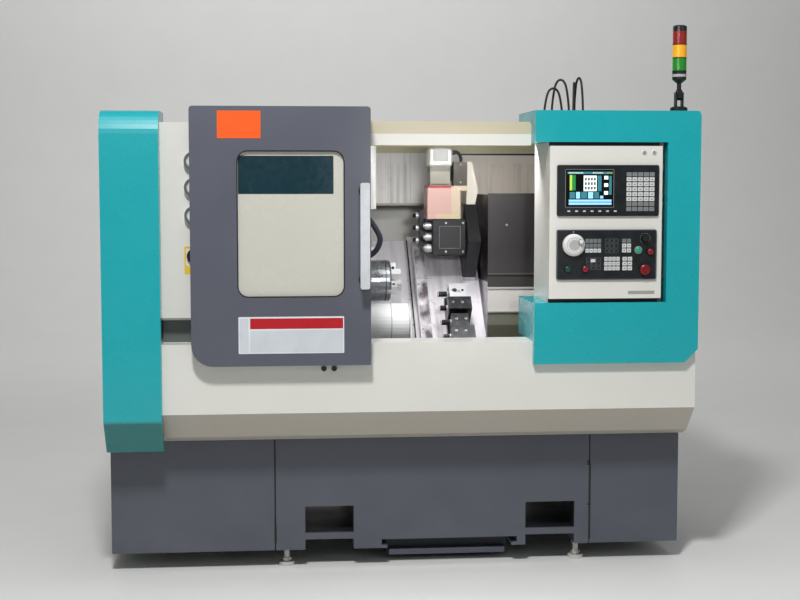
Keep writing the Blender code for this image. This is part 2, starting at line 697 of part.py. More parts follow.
def side_panels():
    left = prism("left_side_panel", side_outline(GAUGE_FRONT), "X", -WIDTH / 2, -WIDTH / 2 + SHEET)
    lower = [(GAUGE_FRONT, SILL + LAP), (GAUGE_FRONT, APRON_CREASE), APRON_LOW,
             (APRON_BACK + LAP, BASE_TOP + 2 * FIT), (APRON_BACK + LAP, SILL + LAP)]
    join(left, prism("left_corner", lower, "X", -WIDTH / 2, X(STRIP_WIDTH) - FIT))
    spout = rod("bar_hole", (-WIDTH / 2 - PAST, AXIS_Y, AXIS_Z), (-WIDTH / 2 + SHEET + PAST, AXIS_Y, AXIS_Z),
                SPOUT_RADIUS, 24)
    cut(left, spout)
    finish(left, "white_paint")
    front = CONSOLE_FRONT + CONSOLE_RETURN + FIT
    right = prism("right_side_panel", side_outline(front), "X", WIDTH / 2 - SHEET, WIDTH / 2)
    groove = prism("hatch_groove", HATCH, "X", WIDTH / 2 - HATCH_DEPTH, WIDTH / 2 + PAST)
    centre = Vector((sum(p[0] for p in HATCH) / len(HATCH), sum(p[1] for p in HATCH) / len(HATCH)))
    inner = [tuple(centre + (Vector(p) - centre) * HATCH_ISLAND) for p in HATCH]
    cut(groove, prism("hatch_island", inner, "X", WIDTH / 2 - 2 * HATCH_DEPTH, WIDTH / 2 + 2 * PAST))
    cut(right, groove)
    finish(right, "white_paint")


def roof():
    """Header beam over the opening, the flat roof behind it and the door's rail on top."""
    front = GAUGE_FRONT + SHEET + FIT
    back = BODY_REAR - SHEET - FIT
    x = (-WIDTH / 2 + SHEET + FIT, WIDTH / 2 - SHEET - FIT)
    under = ROOF_TOP - ROOF_SHEET
    outline = [(front, HEADER_LOW), (front, ROOF_TOP), (back, ROOF_TOP), (back, under),
               (front + HEADER_DEPTH, under), (front + HEADER_DEPTH, HEADER_LOW)]
    cover = prism("roof_cover", outline, "X", x[0], x[1])
    cut(cover, box("console_notch", (CONSOLE_X[0] - FIT, WIDTH / 2), (front - PAST, CONSOLE_BACK + FIT),
                   (HEADER_LOW - PAST, ROOF_TOP + PAST)))
    rail_y = (RAIL_Y - RAIL_WIDTH / 2, RAIL_Y + RAIL_WIDTH / 2)
    rail_z = (ROOF_TOP - LAP / 2, ROOF_TOP + RAIL_HEIGHT)
    join(cover, box("door_rail", (DOOR_X[0] + LAP, CONSOLE_X[0] - SLIDE_GAP), rail_y, rail_z))
    finish(cover, "white_paint")


def rear():
    """The back wall and the electrical cabinet with its hinged door."""
    x = (-WIDTH / 2, WIDTH / 2)
    wall = box("rear_panel", x, (BODY_REAR - SHEET, BODY_REAR), (BASE_TOP + FIT, ROOF_TOP))
    for row in range(VENT_SLOTS):
        z = VENT_LOW + row * VENT_PITCH
        cut(wall, box("vent_slot", VENT_X, (BODY_REAR - VENT_DEPTH, BODY_REAR + PAST), (z, z + VENT_HEIGHT)))
    finish(wall, "white_paint")
    shell_y = (BODY_REAR + FIT, CABINET_BACK - CABINET_DOOR - FIT)
    shell = box("rear_cabinet", CABINET_X, shell_y, CABINET_Z)
    hollow = box("cabinet_hollow", (CABINET_X[0] + CABINET_WALL, CABINET_X[1] - CABINET_WALL),
                 (shell_y[0] + CABINET_WALL, shell_y[1] + PAST),
                 (CABINET_Z[0] + CABINET_WALL, CABINET_Z[1] - CABINET_WALL))
    cut(shell, hollow)
    finish(shell, "white_paint")
    hinge = (CABINET_X[1], CABINET_BACK, sum(CABINET_Z) / 2)
    door = box("cabinet_door", CABINET_X, (CABINET_BACK - CABINET_DOOR, CABINET_BACK), CABINET_Z, hinge)
    lock = (CABINET_X[0] + LOCK_INSET, CABINET_X[0] + LOCK_INSET + LOCK_WIDTH)
    lock_z = (hinge[2] - LOCK_HEIGHT / 2, hinge[2] + LOCK_HEIGHT / 2)
    cut(door, box("lock_recess", lock, (CABINET_BACK - LOCK_DEPTH, CABINET_BACK + PAST), lock_z))
    finish(bevel(door, EDGE), "white_paint")


def door():
    """Sliding door: a pressed frame round the window, deep returns and hanger pins for two rollers."""
    left, right = DOOR_X
    low, top = DOOR_Z
    outline = arc((right - DOOR_ROUND, top - DOOR_ROUND), DOOR_ROUND, 0, 90, 3)
    outline += arc((left + DOOR_ROUND, top - DOOR_ROUND), DOOR_ROUND, 90, 180, 3)
    outline += arc((left + DOOR_CORNER, low + DOOR_CORNER), DOOR_CORNER, 180, 270, 6)
    outline += [(right, low)]
    back = DOOR_FRONT + DOOR_THICK
    frame = prism("door_frame", outline, "Y", DOOR_FRONT, back)
    window = rounded(WINDOW_X, WINDOW_Z, WINDOW_RADIUS)
    hole = prism("window_hole", window, "Y", DOOR_FRONT - PAST, back + PAST)
    edge = (right - DOOR_EDGE, right)
    header_front = GAUGE_FRONT + SHEET + FIT
    parts = [
        box("side_return", edge, (back - LAP, DOOR_RETURN), (SILL + SLIDE_GAP, HEADER_LOW - SLIDE_GAP)),
        box("neck_return", edge, (back - LAP, header_front - SLIDE_GAP), (SILL + SLIDE_GAP, top - 2 * LAP)),
        box("top_edge", edge, (back - LAP, DOOR_TOP_RETURN), (ROOF_TOP + RAIL_HEIGHT + SLIDE_GAP, top)),
        box("top_return", (left + 2 * LAP, right), (back - LAP, DOOR_TOP_RETURN), (top - DOOR_SHEET, top)),
    ]
    axle_z = ROOF_TOP + RAIL_HEIGHT + FIT + ROLLER_RADIUS
    for x in ROLLER_X:
        boss_end = RAIL_Y - ROLLER_WIDTH / 2 - FIT
        pin_end = RAIL_Y + ROLLER_WIDTH / 2 + ROLLER_PIN_END
        parts.append(rod("roller_boss", (x, back - LAP, axle_z), (x, boss_end, axle_z), ROLLER_BOSS, 12))
        parts.append(rod("roller_pin", (x, boss_end - LAP, axle_z), (x, pin_end, axle_z), ROLLER_PIN, 12))
    seat = DOOR_FRONT + WINDOW_RECESS
    well_x = (WINDOW_X[0] - WINDOW_REBATE, WINDOW_X[1] + WINDOW_REBATE)
    well_z = (WINDOW_Z[0] - WINDOW_REBATE, WINDOW_Z[1] + WINDOW_REBATE)
    join(frame, *parts)
    cut(frame, hole, box("window_well", well_x, (seat, back + PAST), well_z))
    finish(smooth(frame, 30), "door_paint")
    pane = box("door_window", (well_x[0] + FIT, well_x[1] - FIT), (seat + FIT, seat + PANE),
               (well_z[0] + FIT, well_z[1] - FIT))
    finish(pane, "pane")
    door_handle()
    for side, x in zip(("left", "right"), ROLLER_X):
        door_roller("roller_" + side, x, axle_z)


def door_handle():
    x = (HANDLE_X - HANDLE_WIDTH / 2, HANDLE_X + HANDLE_WIDTH / 2)
    front = DOOR_FRONT - HANDLE_STAND
    bar = prism("door_handle", rounded(x, HANDLE_Z, 2 * EDGE, 2), "Y", front, front + HANDLE_THICK)
    for z in (HANDLE_Z[0] + HANDLE_INSET, HANDLE_Z[1] - HANDLE_INSET):
        join(bar, rod("handle_post", (HANDLE_X, DOOR_FRONT - FIT, z),
                      (HANDLE_X, front + HANDLE_THICK / 2, z), HANDLE_POST, 12))
    finish(bar, "steel")


def door_roller(name, x, z):
    half = ROLLER_WIDTH / 2
    inner = half - ROLLER_EDGE
    profile = [(-half, ROLLER_RADIUS - ROLLER_EDGE), (-inner, ROLLER_RADIUS), (inner, ROLLER_RADIUS),
               (half, ROLLER_RADIUS - ROLLER_EDGE)]
    wheel = turned(name, profile, (0, 1, 0), (x, RAIL_Y, z), 24)
    ends = (RAIL_Y - half - PAST, RAIL_Y + half + PAST)
    finish(cut(wheel, rod("bore_of_" + name, (x, ends[0], z), (x, ends[1], z), ROLLER_PIN + FIT, 12)),
           "black_plastic")


def console():
    """The teal C-shaped console. It is open to the left, where the control box stands in it."""
    left, right = CONSOLE_X
    low, top = CONSOLE_Z
    inner_low, inner_top = CONSOLE_INNER_Z
    radius = CONSOLE_RADIUS
    outline = [(left, low), (right - CONSOLE_CHAMFER, low), (right, low + CONSOLE_CHAMFER)]
    outline += arc((right - radius, top - radius), radius, 0, 90, 3)
    outline += [(left, top), (left, inner_top), (CONSOLE_INNER_X, inner_top), (CONSOLE_INNER_X, inner_low),
                (left, inner_low)]
    face = prism("console_frame", outline, "Y", CONSOLE_FRONT, APRON_FRONT - FIT)
    side = right - SHEET - FIT
    front = CONSOLE_FRONT + LAP
    parts = [
        box("top_bar", (left, side), (front, CONSOLE_BACK), (inner_top, top - STEP / 2)),
        box("top_cap", (left, right), (front + LAP, CONSOLE_BACK), (ROOF_TOP + FIT, top)),
        box("low_block", (left, side), (front, CONSOLE_LOW_BACK), (SILL + FIT, inner_low)),
        box("right_bar", (CONSOLE_INNER_X, right), (front, CONSOLE_FRONT + CONSOLE_RETURN),
            (SILL + FIT, top - 3 * LAP)),
    ]
    finish(join(face, *parts), "teal_paint")


def control_box():
    """A housing open to the front, closed by the panel that swings on its left edge."""
    front = CONSOLE_FRONT + PANEL_THICK + FIT
    y = (front, front + HOUSING_DEPTH)
    x = (PANEL_X[0], PANEL_X[1] - 2 * EDGE)
    z = (CONSOLE_INNER_Z[0] + FIT, CONSOLE_INNER_Z[1] - FIT)
    housing = box("control_housing", x, y, z)
    wall = HOUSING_WALL
    hollow = box("housing_hollow", (x[0] + wall, x[1] - wall), (y[0] - PAST, y[1] - wall),
                 (PANEL_Z[0] + wall, PANEL_Z[1] - wall))
    cut(housing, hollow)
    finish(housing, "white_paint")
    hinge = (PANEL_X[0], CONSOLE_FRONT, sum(PANEL_Z) / 2)
    panel = box("panel_door", PANEL_X, (CONSOLE_FRONT, CONSOLE_FRONT + PANEL_THICK), PANEL_Z, hinge)
    for x_lock in PANEL_LOCK_X:
        join(panel, rod("lock", (x_lock, CONSOLE_FRONT + LAP / 2, PANEL_LOCK_Z),
                        (x_lock, CONSOLE_FRONT - PANEL_LOCK_STAND, PANEL_LOCK_Z), PANEL_LOCK_RADIUS, 12))
    finish(bevel(panel, EDGE), "white_paint")
    back = CONSOLE_FRONT - FIT
    unit_y = (back - UNIT_PROUD, back)
    display = prism("display_unit", rounded(DISPLAY_X, DISPLAY_Z, 2 * EDGE, 2), "Y", unit_y[0], unit_y[1])
    screen = box("screen_recess", SCREEN_X, (unit_y[0] - PAST, unit_y[0] + EDGE), SCREEN_Z)
    finish(cut(display, screen), "panel_film")
    operate = prism("operation_panel", rounded(OPERATE_X, OPERATE_Z, 2 * EDGE, 2), "Y", unit_y[0], unit_y[1])
    controls(operate, unit_y[0])
    finish(operate, "panel_film")


def controls(panel, face):
    """Handwheel, override knob, four push buttons and the stop button, each on its own axis."""
    def bore(place, depth=SHAFT_DEPTH):
        cut(panel, rod("bore", (place[0], face - PAST, place[1]), (place[0], face + depth, place[1]),
                       SHAFT_RADIUS + FIT, 12))

    deep = UNIT_PROUD - STEM_CLEAR
    origin = (WHEEL_AT[0], face, WHEEL_AT[1])
    wheel = turned("handwheel", [(-deep, SHAFT_RADIUS), (FIT, SHAFT_RADIUS), (FIT, WHEEL_RADIUS),
                                 (WHEEL_DEPTH * 0.6, WHEEL_RADIUS), (WHEEL_DEPTH, WHEEL_RADIUS * 0.80)],
                   (0, -1, 0), origin, 28)
    grip = (WHEEL_AT[0] + WHEEL_RADIUS * 0.55, WHEEL_AT[1] + WHEEL_RADIUS * 0.35)
    join(wheel, rod("wheel_grip", (grip[0], face - WHEEL_DEPTH * 0.7, grip[1]),
                    (grip[0], face - WHEEL_DEPTH - WHEEL_GRIP_REACH, grip[1]), WHEEL_GRIP, 12))
    finish(wheel, "bright_cover")
    bore(WHEEL_AT, deep + STEM_CLEAR / 3)
    knob = turned("override_knob", [(-deep, SHAFT_RADIUS), (FIT, SHAFT_RADIUS), (FIT, KNOB_RADIUS),
                                    (KNOB_PROUD, KNOB_RADIUS * 0.85)], (0, -1, 0),
                  (OVERRIDE_AT[0], face, OVERRIDE_AT[1]), 16)
    finish(knob, "black_plastic")
    bore(OVERRIDE_AT, deep + STEM_CLEAR / 3)
    buttons = (("power_on_button", POWER_ON_AT, BUTTON_RADIUS, BUTTON_PROUD, "dark_green_button"),
               ("power_off_button", POWER_OFF_AT, BUTTON_RADIUS, BUTTON_PROUD, "red_button"),
               ("cycle_start_button", CYCLE_START_AT, BUTTON_RADIUS, BUTTON_PROUD, "green_button"),
               ("feed_hold_button", FEED_HOLD_AT, BUTTON_RADIUS, BUTTON_PROUD, "red_button"),
               ("emergency_stop", STOP_AT, STOP_CAP_RADIUS, STOP_CAP_PROUD, "red_button"))
    for name, place, radius, proud, color in buttons:
        bore(place, deep + STEM_CLEAR / 3)
        gap = BUTTON_STROKE + FIT
        stem = deep - BUTTON_STROKE
        profile = [(-stem, SHAFT_RADIUS), (gap, SHAFT_RADIUS), (gap, radius), (proud - CAP_EDGE, radius),
                   (proud, radius - 1.5 * CAP_EDGE)]
        finish(turned(name, profile, (0, -1, 0), (place[0], face, place[1]), 16), color)


def signal_tower():
    """Foot, fold-down pole with its ball, and three lamps with a cap."""
    x, y = TOWER_AT
    profile = [(CONSOLE_Z[1] + FIT, TOWER_FOOT_RADIUS), (TOWER_FOOT_TOP - LAP, TOWER_FOOT_RADIUS),
               (TOWER_FOOT_TOP - LAP / 2, TOWER_FOOT_RADIUS * 0.7)]
    foot = turned("tower_foot", profile, (0, 0, 1), (x, y, 0), 20)
    flat = TOWER_BALL_RADIUS * 0.45
    for side in (-1, 1):
        cheek_x = sorted((x + side * (flat + FIT), x + side * (flat + FIT + TOWER_CHEEK)))
        cheek_z = (TOWER_FOOT_TOP - 1.2 * LAP, TOWER_BALL_Z + LAP)
        join(foot, box("cheek", cheek_x, (y - 2 * TOWER_CHEEK, y + 2 * TOWER_CHEEK), cheek_z))
    finish(foot, "black_plastic")
    hinge = (x, y, TOWER_BALL_Z)
    pole = rod("tower_pole", (x - flat, y, TOWER_BALL_Z), (x + flat, y, TOWER_BALL_Z), TOWER_BALL_RADIUS, 20)
    profile = [(TOWER_BALL_Z + LAP, TOWER_NECK_RADIUS),
               (TOWER_BASE_Z[0] - TOWER_NECK_FLARE, TOWER_NECK_RADIUS),
               (TOWER_BASE_Z[0], TOWER_RADIUS), (TOWER_BASE_Z[1], TOWER_RADIUS)]
    neck = turned("neck", profile, (0, 0, 1), (x, y, 0), 20)
    join(pole, neck)
    finish(pole, "black_plastic")
    start = TOWER_BASE_Z[1]
    for name, color in (("lamp_green", "green_lamp"), ("lamp_amber", "amber_lamp"), ("lamp_red", "red_lamp")):
        top = start + LAMP_HEIGHT
        inner = TOWER_RADIUS - LAMP_EDGE
        profile = [(start + FIT, inner), (start + LAMP_EDGE, TOWER_RADIUS), (top - LAMP_EDGE, TOWER_RADIUS),
                   (top, inner)]
        if name == "lamp_red":
            profile[-1] = (top, TOWER_RADIUS)
            profile += [(top + TOWER_CAP - 2 * LAMP_EDGE, TOWER_RADIUS),
                        (top + TOWER_CAP, TOWER_RADIUS * 0.75)]
        finish(turned(name, profile, (0, 0, 1), (x, y, 0), 20), color)
        start = top


def bed():
    """The slanted casting with its two guides, and the bearing blocks of the long screw."""
    low, high = BED_S
    outline = [(low, BED_N)]
    for place in GUIDE_S:
        half = GUIDE_WIDTH / 2
        outline += [(place - half, BED_N), (place - half, GUIDE_TOP), (place + half, GUIDE_TOP),
                    (place + half, BED_N)]
    outline += [(high, BED_N)]
    points = [slope_point(s, n) for s, n in outline]
    points += [(points[-1][0], BASE_TOP + FIT), (points[0][0], BASE_TOP + FIT)]
    casting = prism("slant_bed", points, "X", BED_X[0], BED_X[1])
    block_n = (BED_N - LAP, SCREW_N + SCREW_RADIUS + 2 * EDGE)
    for start in (HEADSTOCK_X[1] + 2 * STEP, BED_X[1] - SCREW_BLOCK):
        block_x = (start, start + SCREW_BLOCK)
        join(casting, slope_box("screw_block", block_x, (-SCREW_BLOCK_HALF, SCREW_BLOCK_HALF), block_n))
    y, z = slope_point(0, SCREW_N)
    cut(casting, rod("screw_bore", (HEADSTOCK_X[1] - PAST, y, z), (BED_X[1] + PAST, y, z),
                     SCREW_RADIUS + FIT, 20))
    finish(casting, "cast_iron")
    screw = rod("z_screw", (HEADSTOCK_X[1] + 3 * STEP, y, z), (BED_X[1] - 2 * STEP, y, z), SCREW_RADIUS, 20)
    finish(screw, "steel")


def headstock():
    """A casting on the bed that holds the spindle. The saddle's cover slides into its slot."""
    half = HEADSTOCK_WIDTH / 2
    outline = [(-half, BED_N + FIT), (half, BED_N + FIT)]
    outline += arc((0, 0), HEADSTOCK_ROUND, 20, 160, 10)
    casting = slope_prism("headstock", outline, HEADSTOCK_X)
    bore = rod("spindle_bore", (HEADSTOCK_X[0] - PAST, AXIS_Y, AXIS_Z),
               (HEADSTOCK_X[1] + PAST, AXIS_Y, AXIS_Z), SPINDLE_RADIUS + FIT, 32)
    slot_n = (LEFT_COVER_N[0] - SLIDE_GAP, LEFT_COVER_N[1] + SLIDE_GAP)
    slot = slope_box("cover_slot", (COVER_SLOT_START, HEADSTOCK_X[1] + PAST), LEFT_COVER_S, slot_n)
    cut(casting, bore, slot)
    finish(smooth(casting, 30), "bright_cover")


def spindle():
    """Spindle with its pulley and clamping cylinder at the back, and the chuck with three jaws."""
    profile = [(CYLINDER_X[0], CYLINDER_RADIUS), (CYLINDER_X[1], CYLINDER_RADIUS),
               (CYLINDER_X[1], SPINDLE_RADIUS), (PULLEY_X[0] - FLANGE_WIDTH, SPINDLE_RADIUS),
               (PULLEY_X[0] - FLANGE_WIDTH, FLANGE_RADIUS), (PULLEY_X[0], FLANGE_RADIUS),
               (PULLEY_X[0], PULLEY_RADIUS), (PULLEY_X[1], PULLEY_RADIUS), (PULLEY_X[1], FLANGE_RADIUS),
               (PULLEY_X[1] + FLANGE_WIDTH, FLANGE_RADIUS), (PULLEY_X[1] + FLANGE_WIDTH, SPINDLE_RADIUS),
               (HEADSTOCK_X[1] + STEP, SPINDLE_RADIUS), (HEADSTOCK_X[1] + STEP, NOSE_RADIUS),
               (NOSE_X, NOSE_RADIUS)]
    axis = (0, AXIS_Y, AXIS_Z)
    shaft = turned("spindle_shaft", profile, (1, 0, 0), axis, 32)
    ends = (CYLINDER_X[0] - PAST, CHUCK_X[1] + PAST)
    bar_path = rod("bar_bore", (ends[0], AXIS_Y, AXIS_Z), (ends[1], AXIS_Y, AXIS_Z), BORE_RADIUS, 20)
    cut(shaft, bar_path)
    finish(shaft, "steel")
    profile = [(NOSE_X + FIT, CHUCK_BACK_RADIUS), (CHUCK_X[0], CHUCK_BACK_RADIUS),
               (CHUCK_X[0], CHUCK_RADIUS - CHUCK_EDGE), (CHUCK_X[0] + CHUCK_EDGE, CHUCK_RADIUS),
               (CHUCK_X[1] - CHUCK_EDGE, CHUCK_RADIUS), (CHUCK_X[1], CHUCK_RADIUS - CHUCK_EDGE)]
    chuck = turned("chuck_body", profile, (1, 0, 0), axis, 32)
    cut(chuck, bar_path)
    for number in range(JAWS):
        angle = radians(90 + 360 / JAWS * number)
        turn = Matrix.Translation((0, AXIS_Y, AXIS_Z)) @ Matrix.Rotation(angle, 4, "X")
        slot = box("jaw_slot", (CHUCK_X[1] - JAW_KEY_DEPTH - FIT, CHUCK_X[1] + PAST),
                   (0.0, CHUCK_RADIUS + PAST), (-JAW_KEY / 2 - FIT, JAW_KEY / 2 + FIT))
        slot.data.transform(turn)
        cut(chuck, slot)
        jaw("chuck_jaw_%d" % (number + 1), turn)
    finish(chuck, "steel")


def jaw(name, turn):
    """One stepped jaw along +Y before it is turned to its place, with its key in the chuck's slot."""
    face = CHUCK_X[1] + FIT
    outline = [(CHUCK_X[1] - JAW_KEY_DEPTH, JAW_INNER), (face + JAW_LENGTH, JAW_INNER),
               (face + JAW_LENGTH, JAW_INNER + JAW_STEP), (face + JAW_LENGTH * 0.55, JAW_INNER + JAW_STEP),
               (face + JAW_LENGTH * 0.55, JAW_OUTER), (CHUCK_X[1] - JAW_KEY_DEPTH, JAW_OUTER)]
    block = prism(name, outline, "Z", -JAW_WIDTH / 2, JAW_WIDTH / 2)
    for side in (-1, 1):
        edges = sorted((side * (JAW_KEY / 2), side * JAW_WIDTH))
        relief = box("key_relief", (CHUCK_X[1] - JAW_KEY_DEPTH - PAST, face),
                     (JAW_INNER - PAST, JAW_OUTER + PAST), edges)
        relief.data.transform(turn)
        cut(block, relief)
    block.data.transform(turn)
    finish(block, "steel")


def belt_drive():
    """Spindle motor on the base, its pulley and the belt up to the spindle."""
    y = (AXIS_Y - MOTOR_HALF, AXIS_Y + MOTOR_HALF)
    z = (MOTOR_Z - MOTOR_HALF, MOTOR_Z + MOTOR_HALF)
    motor = prism("spindle_motor", rounded(y, z, MOTOR_ROUND, 3), "X", MOTOR_X[0], MOTOR_X[1])
    inset = MOTOR_ROUND
    foot = box("motor_foot", (MOTOR_X[0] + inset, MOTOR_X[1] - inset),
               (y[0] - MOTOR_FOOT, y[1] + MOTOR_FOOT), (BASE_TOP + FIT, BASE_TOP + MOTOR_FOOT))
    pedestal = box("motor_pedestal", (MOTOR_X[0] + 2 * inset, MOTOR_X[1] - 2 * inset),
                   (y[0] + inset, y[1] - inset), (BASE_TOP + LAP, z[0] + LAP))
    join(motor, foot, pedestal)
    cut(motor, rod("motor_bore", (MOTOR_X[1] - MOTOR_BORE, AXIS_Y, MOTOR_Z),
                   (MOTOR_X[1] + PAST, AXIS_Y, MOTOR_Z), MOTOR_SHAFT + FIT, 20))
    finish(motor, "black_steel")
    flange = MOTOR_PULLEY_RADIUS + FLANGE_RADIUS - PULLEY_RADIUS
    profile = [(MOTOR_X[1] - MOTOR_BORE + PAST / 5, MOTOR_SHAFT), (PULLEY_X[0] - FLANGE_WIDTH, MOTOR_SHAFT),
               (PULLEY_X[0] - FLANGE_WIDTH, flange), (PULLEY_X[0], flange),
               (PULLEY_X[0], MOTOR_PULLEY_RADIUS), (PULLEY_X[1], MOTOR_PULLEY_RADIUS),
               (PULLEY_X[1], flange), (PULLEY_X[1] + FLANGE_WIDTH, flange)]
    finish(turned("motor_pulley", profile, (1, 0, 0), (0, AXIS_Y, MOTOR_Z), 28), "steel")
    inside = belt_outline(FIT)
    outside = belt_outline(FIT + BELT_THICK)
    x = (PULLEY_X[0] + STEP, PULLEY_X[1] - STEP)
    belt = prism("drive_belt", outside, "X", x[0], x[1])
    cut(belt, prism("belt_inside", inside, "X", x[0] - PAST, x[1] + PAST))
    finish(smooth(belt, 30), "black_rubber")


def belt_outline(offset):
    """The loop round both pulleys, at an offset from their faces. Its flats stay outside their circles."""
    flat = cos(pi / BELT_STEPS / 2 * 1.1)
    upper = (PULLEY_RADIUS + offset) / flat
    lower = (MOTOR_PULLEY_RADIUS + offset) / flat
    lean = atan2(upper - lower, AXIS_Z - MOTOR_Z) * 180 / pi
    points = arc((AXIS_Y, AXIS_Z), upper, -lean, 180 + lean, BELT_STEPS)
    points += arc((AXIS_Y, MOTOR_Z), lower, 180 + lean, 360 - lean, BELT_STEPS)
    return points


def saddle():
    """Z saddle on the bed's guides, with its nut, the cross rails and the guard wall at its right."""
    slab = slope_box("z_saddle", (SADDLE_X[0], SADDLE_X[1] - SADDLE_GUARD / 2), SADDLE_S,
                     (GUIDE_TOP + FIT, SADDLE_TOP))
    y, z = slope_point(0, SCREW_N)
    join(slab, slope_box("screw_nut", NUT_X, (-NUT_HALF, NUT_HALF), (BED_N + SLIDE_GAP, GUIDE_TOP + LAP)))
    rail_s = (SADDLE_S[0] + RAIL_INSET, SADDLE_S[1] - RAIL_INSET)
    rail_n = (SADDLE_TOP - LAP / 2, CROSS_RAIL_TOP)
    for x in CROSS_RAIL_X:
        join(slab, slope_box("cross_rail", (x, x + CROSS_RAIL_WIDTH), rail_s, rail_n))
    mid = (GUIDE_TOP + SADDLE_TOP) / 2
    guard = [slope_at_depth(GUARD_FRONT, mid), slope_at_depth(GUARD_BACK, mid),
             (GUARD_BACK, GUARD_TOP), (GUARD_FRONT, GUARD_TOP)]
    join(slab, prism("guard_wall", guard, "X", SADDLE_X[1] - SADDLE_GUARD, SADDLE_X[1]))
    cut(slab, rod("nut_bore", (NUT_X[0] - PAST, y, z), (NUT_X[1] + PAST, y, z), SCREW_RADIUS + FIT, 20))
    finish(slab, "bright_cover")
    finish(slope_box("way_cover_left", (LEFT_COVER_START, SADDLE_X[0] - FIT), LEFT_COVER_S, LEFT_COVER_N),
           "bright_cover")
    cover_y = (GUARD_FRONT - FIT - RIGHT_COVER, GUARD_FRONT - FIT)
    cover = box("way_cover_right", RIGHT_COVER_X, cover_y, RIGHT_COVER_Z)
    cut(cover, box("cover_step", (RIGHT_COVER_X[0] - PAST, RIGHT_COVER_X[1] + PAST),
                   (cover_y[0] - PAST, cover_y[0] + RIGHT_COVER_STEP),
                   (RIGHT_COVER_Z[0] - PAST, RIGHT_COVER_SPLIT)))
    finish(cover, "dark_cover")


def cross_slide():
    """Cross slide on the saddle's rails with the column of the live tools, and the gang of holders."""
    slab = slope_box("cross_slide", CROSS_X, CROSS_S, (CROSS_RAIL_TOP + FIT, CROSS_TOP))
    column = slope_box("column", COLUMN_X, COLUMN_S, (CROSS_TOP - LAP / 2, COLUMN_TOP))
    join(slab, column, prism("bracket", BRACKET, "Y", *BRACKET_Y))
    finish(slab, "cast_iron")
    gang = slope_box("gang_tools", GANG_X, GANG_S, (CROSS_TOP + FIT, GANG_BAR_TOP))
    pitch = (GANG_S[1] - GANG_S[0] + HOLDER_GAP) / HOLDERS
    for number in range(HOLDERS):
        start = GANG_S[0] + pitch * number
        end = start + pitch - HOLDER_GAP
        step = HOLDER_STEP if number % 2 else 0.0
        block = slope_box("holder", (GANG_X[0] + step / 2, GANG_X[1] - step), (start, end),
                          (GANG_BAR_TOP - LAP / 2, HOLDER_TOP - step))
        y, z = slope_point((start + end) / 2, TOOL_N)
        tool = rod("boring_bar", (GANG_X[0] - TOOL_REACH, y, z), (GANG_X[0] + 2 * LAP, y, z), TOOL_RADIUS, 12)
        join(gang, block, tool)
    finish(gang, "black_steel")


def live_tools():
    """Live tool unit on the column: spindle block, belt cover, gear box, motor and the rear tools."""
    unit = bevel(box("live_tool_unit", LIVE_X, LIVE_Y, LIVE_Z), LIVE_EDGE)
    middle_y = sum(LIVE_Y) / 2
    inner_y = (LIVE_Y[0] + LAP, LIVE_Y[1] - LAP)
    cover = bevel(box("belt_cover", COVER_X, inner_y, (LIVE_Z[1] - LAP, COVER_TOP)), LIVE_EDGE)
    gear_z = (COVER_TOP - LAP / 2, GEAR_TOP + LAP / 2)
    gear_box = box("gear_box", GEAR_X, (inner_y[0] + LAP, inner_y[1] - LAP), gear_z)
    motor = bevel(box("live_motor", LIVE_MOTOR_X, inner_y, (GEAR_TOP, LIVE_MOTOR_TOP)), 2 * LIVE_EDGE)
    drive_box = box("drive_box", DRIVE_BOX_X, inner_y, (COVER_TOP - 2 * LAP, DRIVE_BOX_TOP))
    neck = box("drive_neck", (GEAR_X[1] - LAP, DRIVE_BOX_X[0] + LAP), (middle_y - LAP, middle_y + LAP),
               (COVER_TOP - 3 * LAP, COVER_TOP + 2 * LAP))
    rear = bevel(box("rear_tools", REAR_TOOLS_X, REAR_TOOLS_Y, REAR_TOOLS_Z), LIVE_EDGE / 2)
    join(unit, cover, gear_box, motor, drive_box, neck, rear)
    pitch = (REAR_TOOLS_Z[1] - REAR_TOOLS_Z[0]) / REAR_TOOLS
    for number in range(REAR_TOOLS):
        place = (REAR_TOOLS_X[0], sum(REAR_TOOLS_Y) / 2, REAR_TOOLS_Z[0] + pitch * (number + 0.5))
        profile = [(-LAP, REAR_TOOL_RADIUS), (REAR_TOOL_REACH / 2, REAR_TOOL_RADIUS),
                   (REAR_TOOL_REACH, REAR_TOOL_RADIUS / 2)]
        join(unit, turned("rear_tool", profile, (-1, 0, 0), place, 14))
    y = LIVE_SPINDLE_Y
    for number in range(LIVE_SPINDLES):
        z = sum(LIVE_Z) / 2 + LIVE_PITCH * (number - (LIVE_SPINDLES - 1) / 2)
        cut(unit, rod("live_bore", (LIVE_X[0] - PAST, y, z), (LIVE_X[0] + LIVE_BORE, y, z),
                      LIVE_SHAFT + FIT, 16))
        profile = [*COLLET_PROFILE, (NOSE_REACH - FIT, COLLET_RADIUS), (NOSE_REACH - FIT, LIVE_SHAFT),
                   (NOSE_REACH + LIVE_BORE - SEAM, LIVE_SHAFT)]
        start = (LIVE_X[0] - NOSE_REACH, y, z)
        finish(turned("live_spindle_%d" % (number + 1), profile, (1, 0, 0), start, 16), "steel")
    finish(unit, "black_steel")


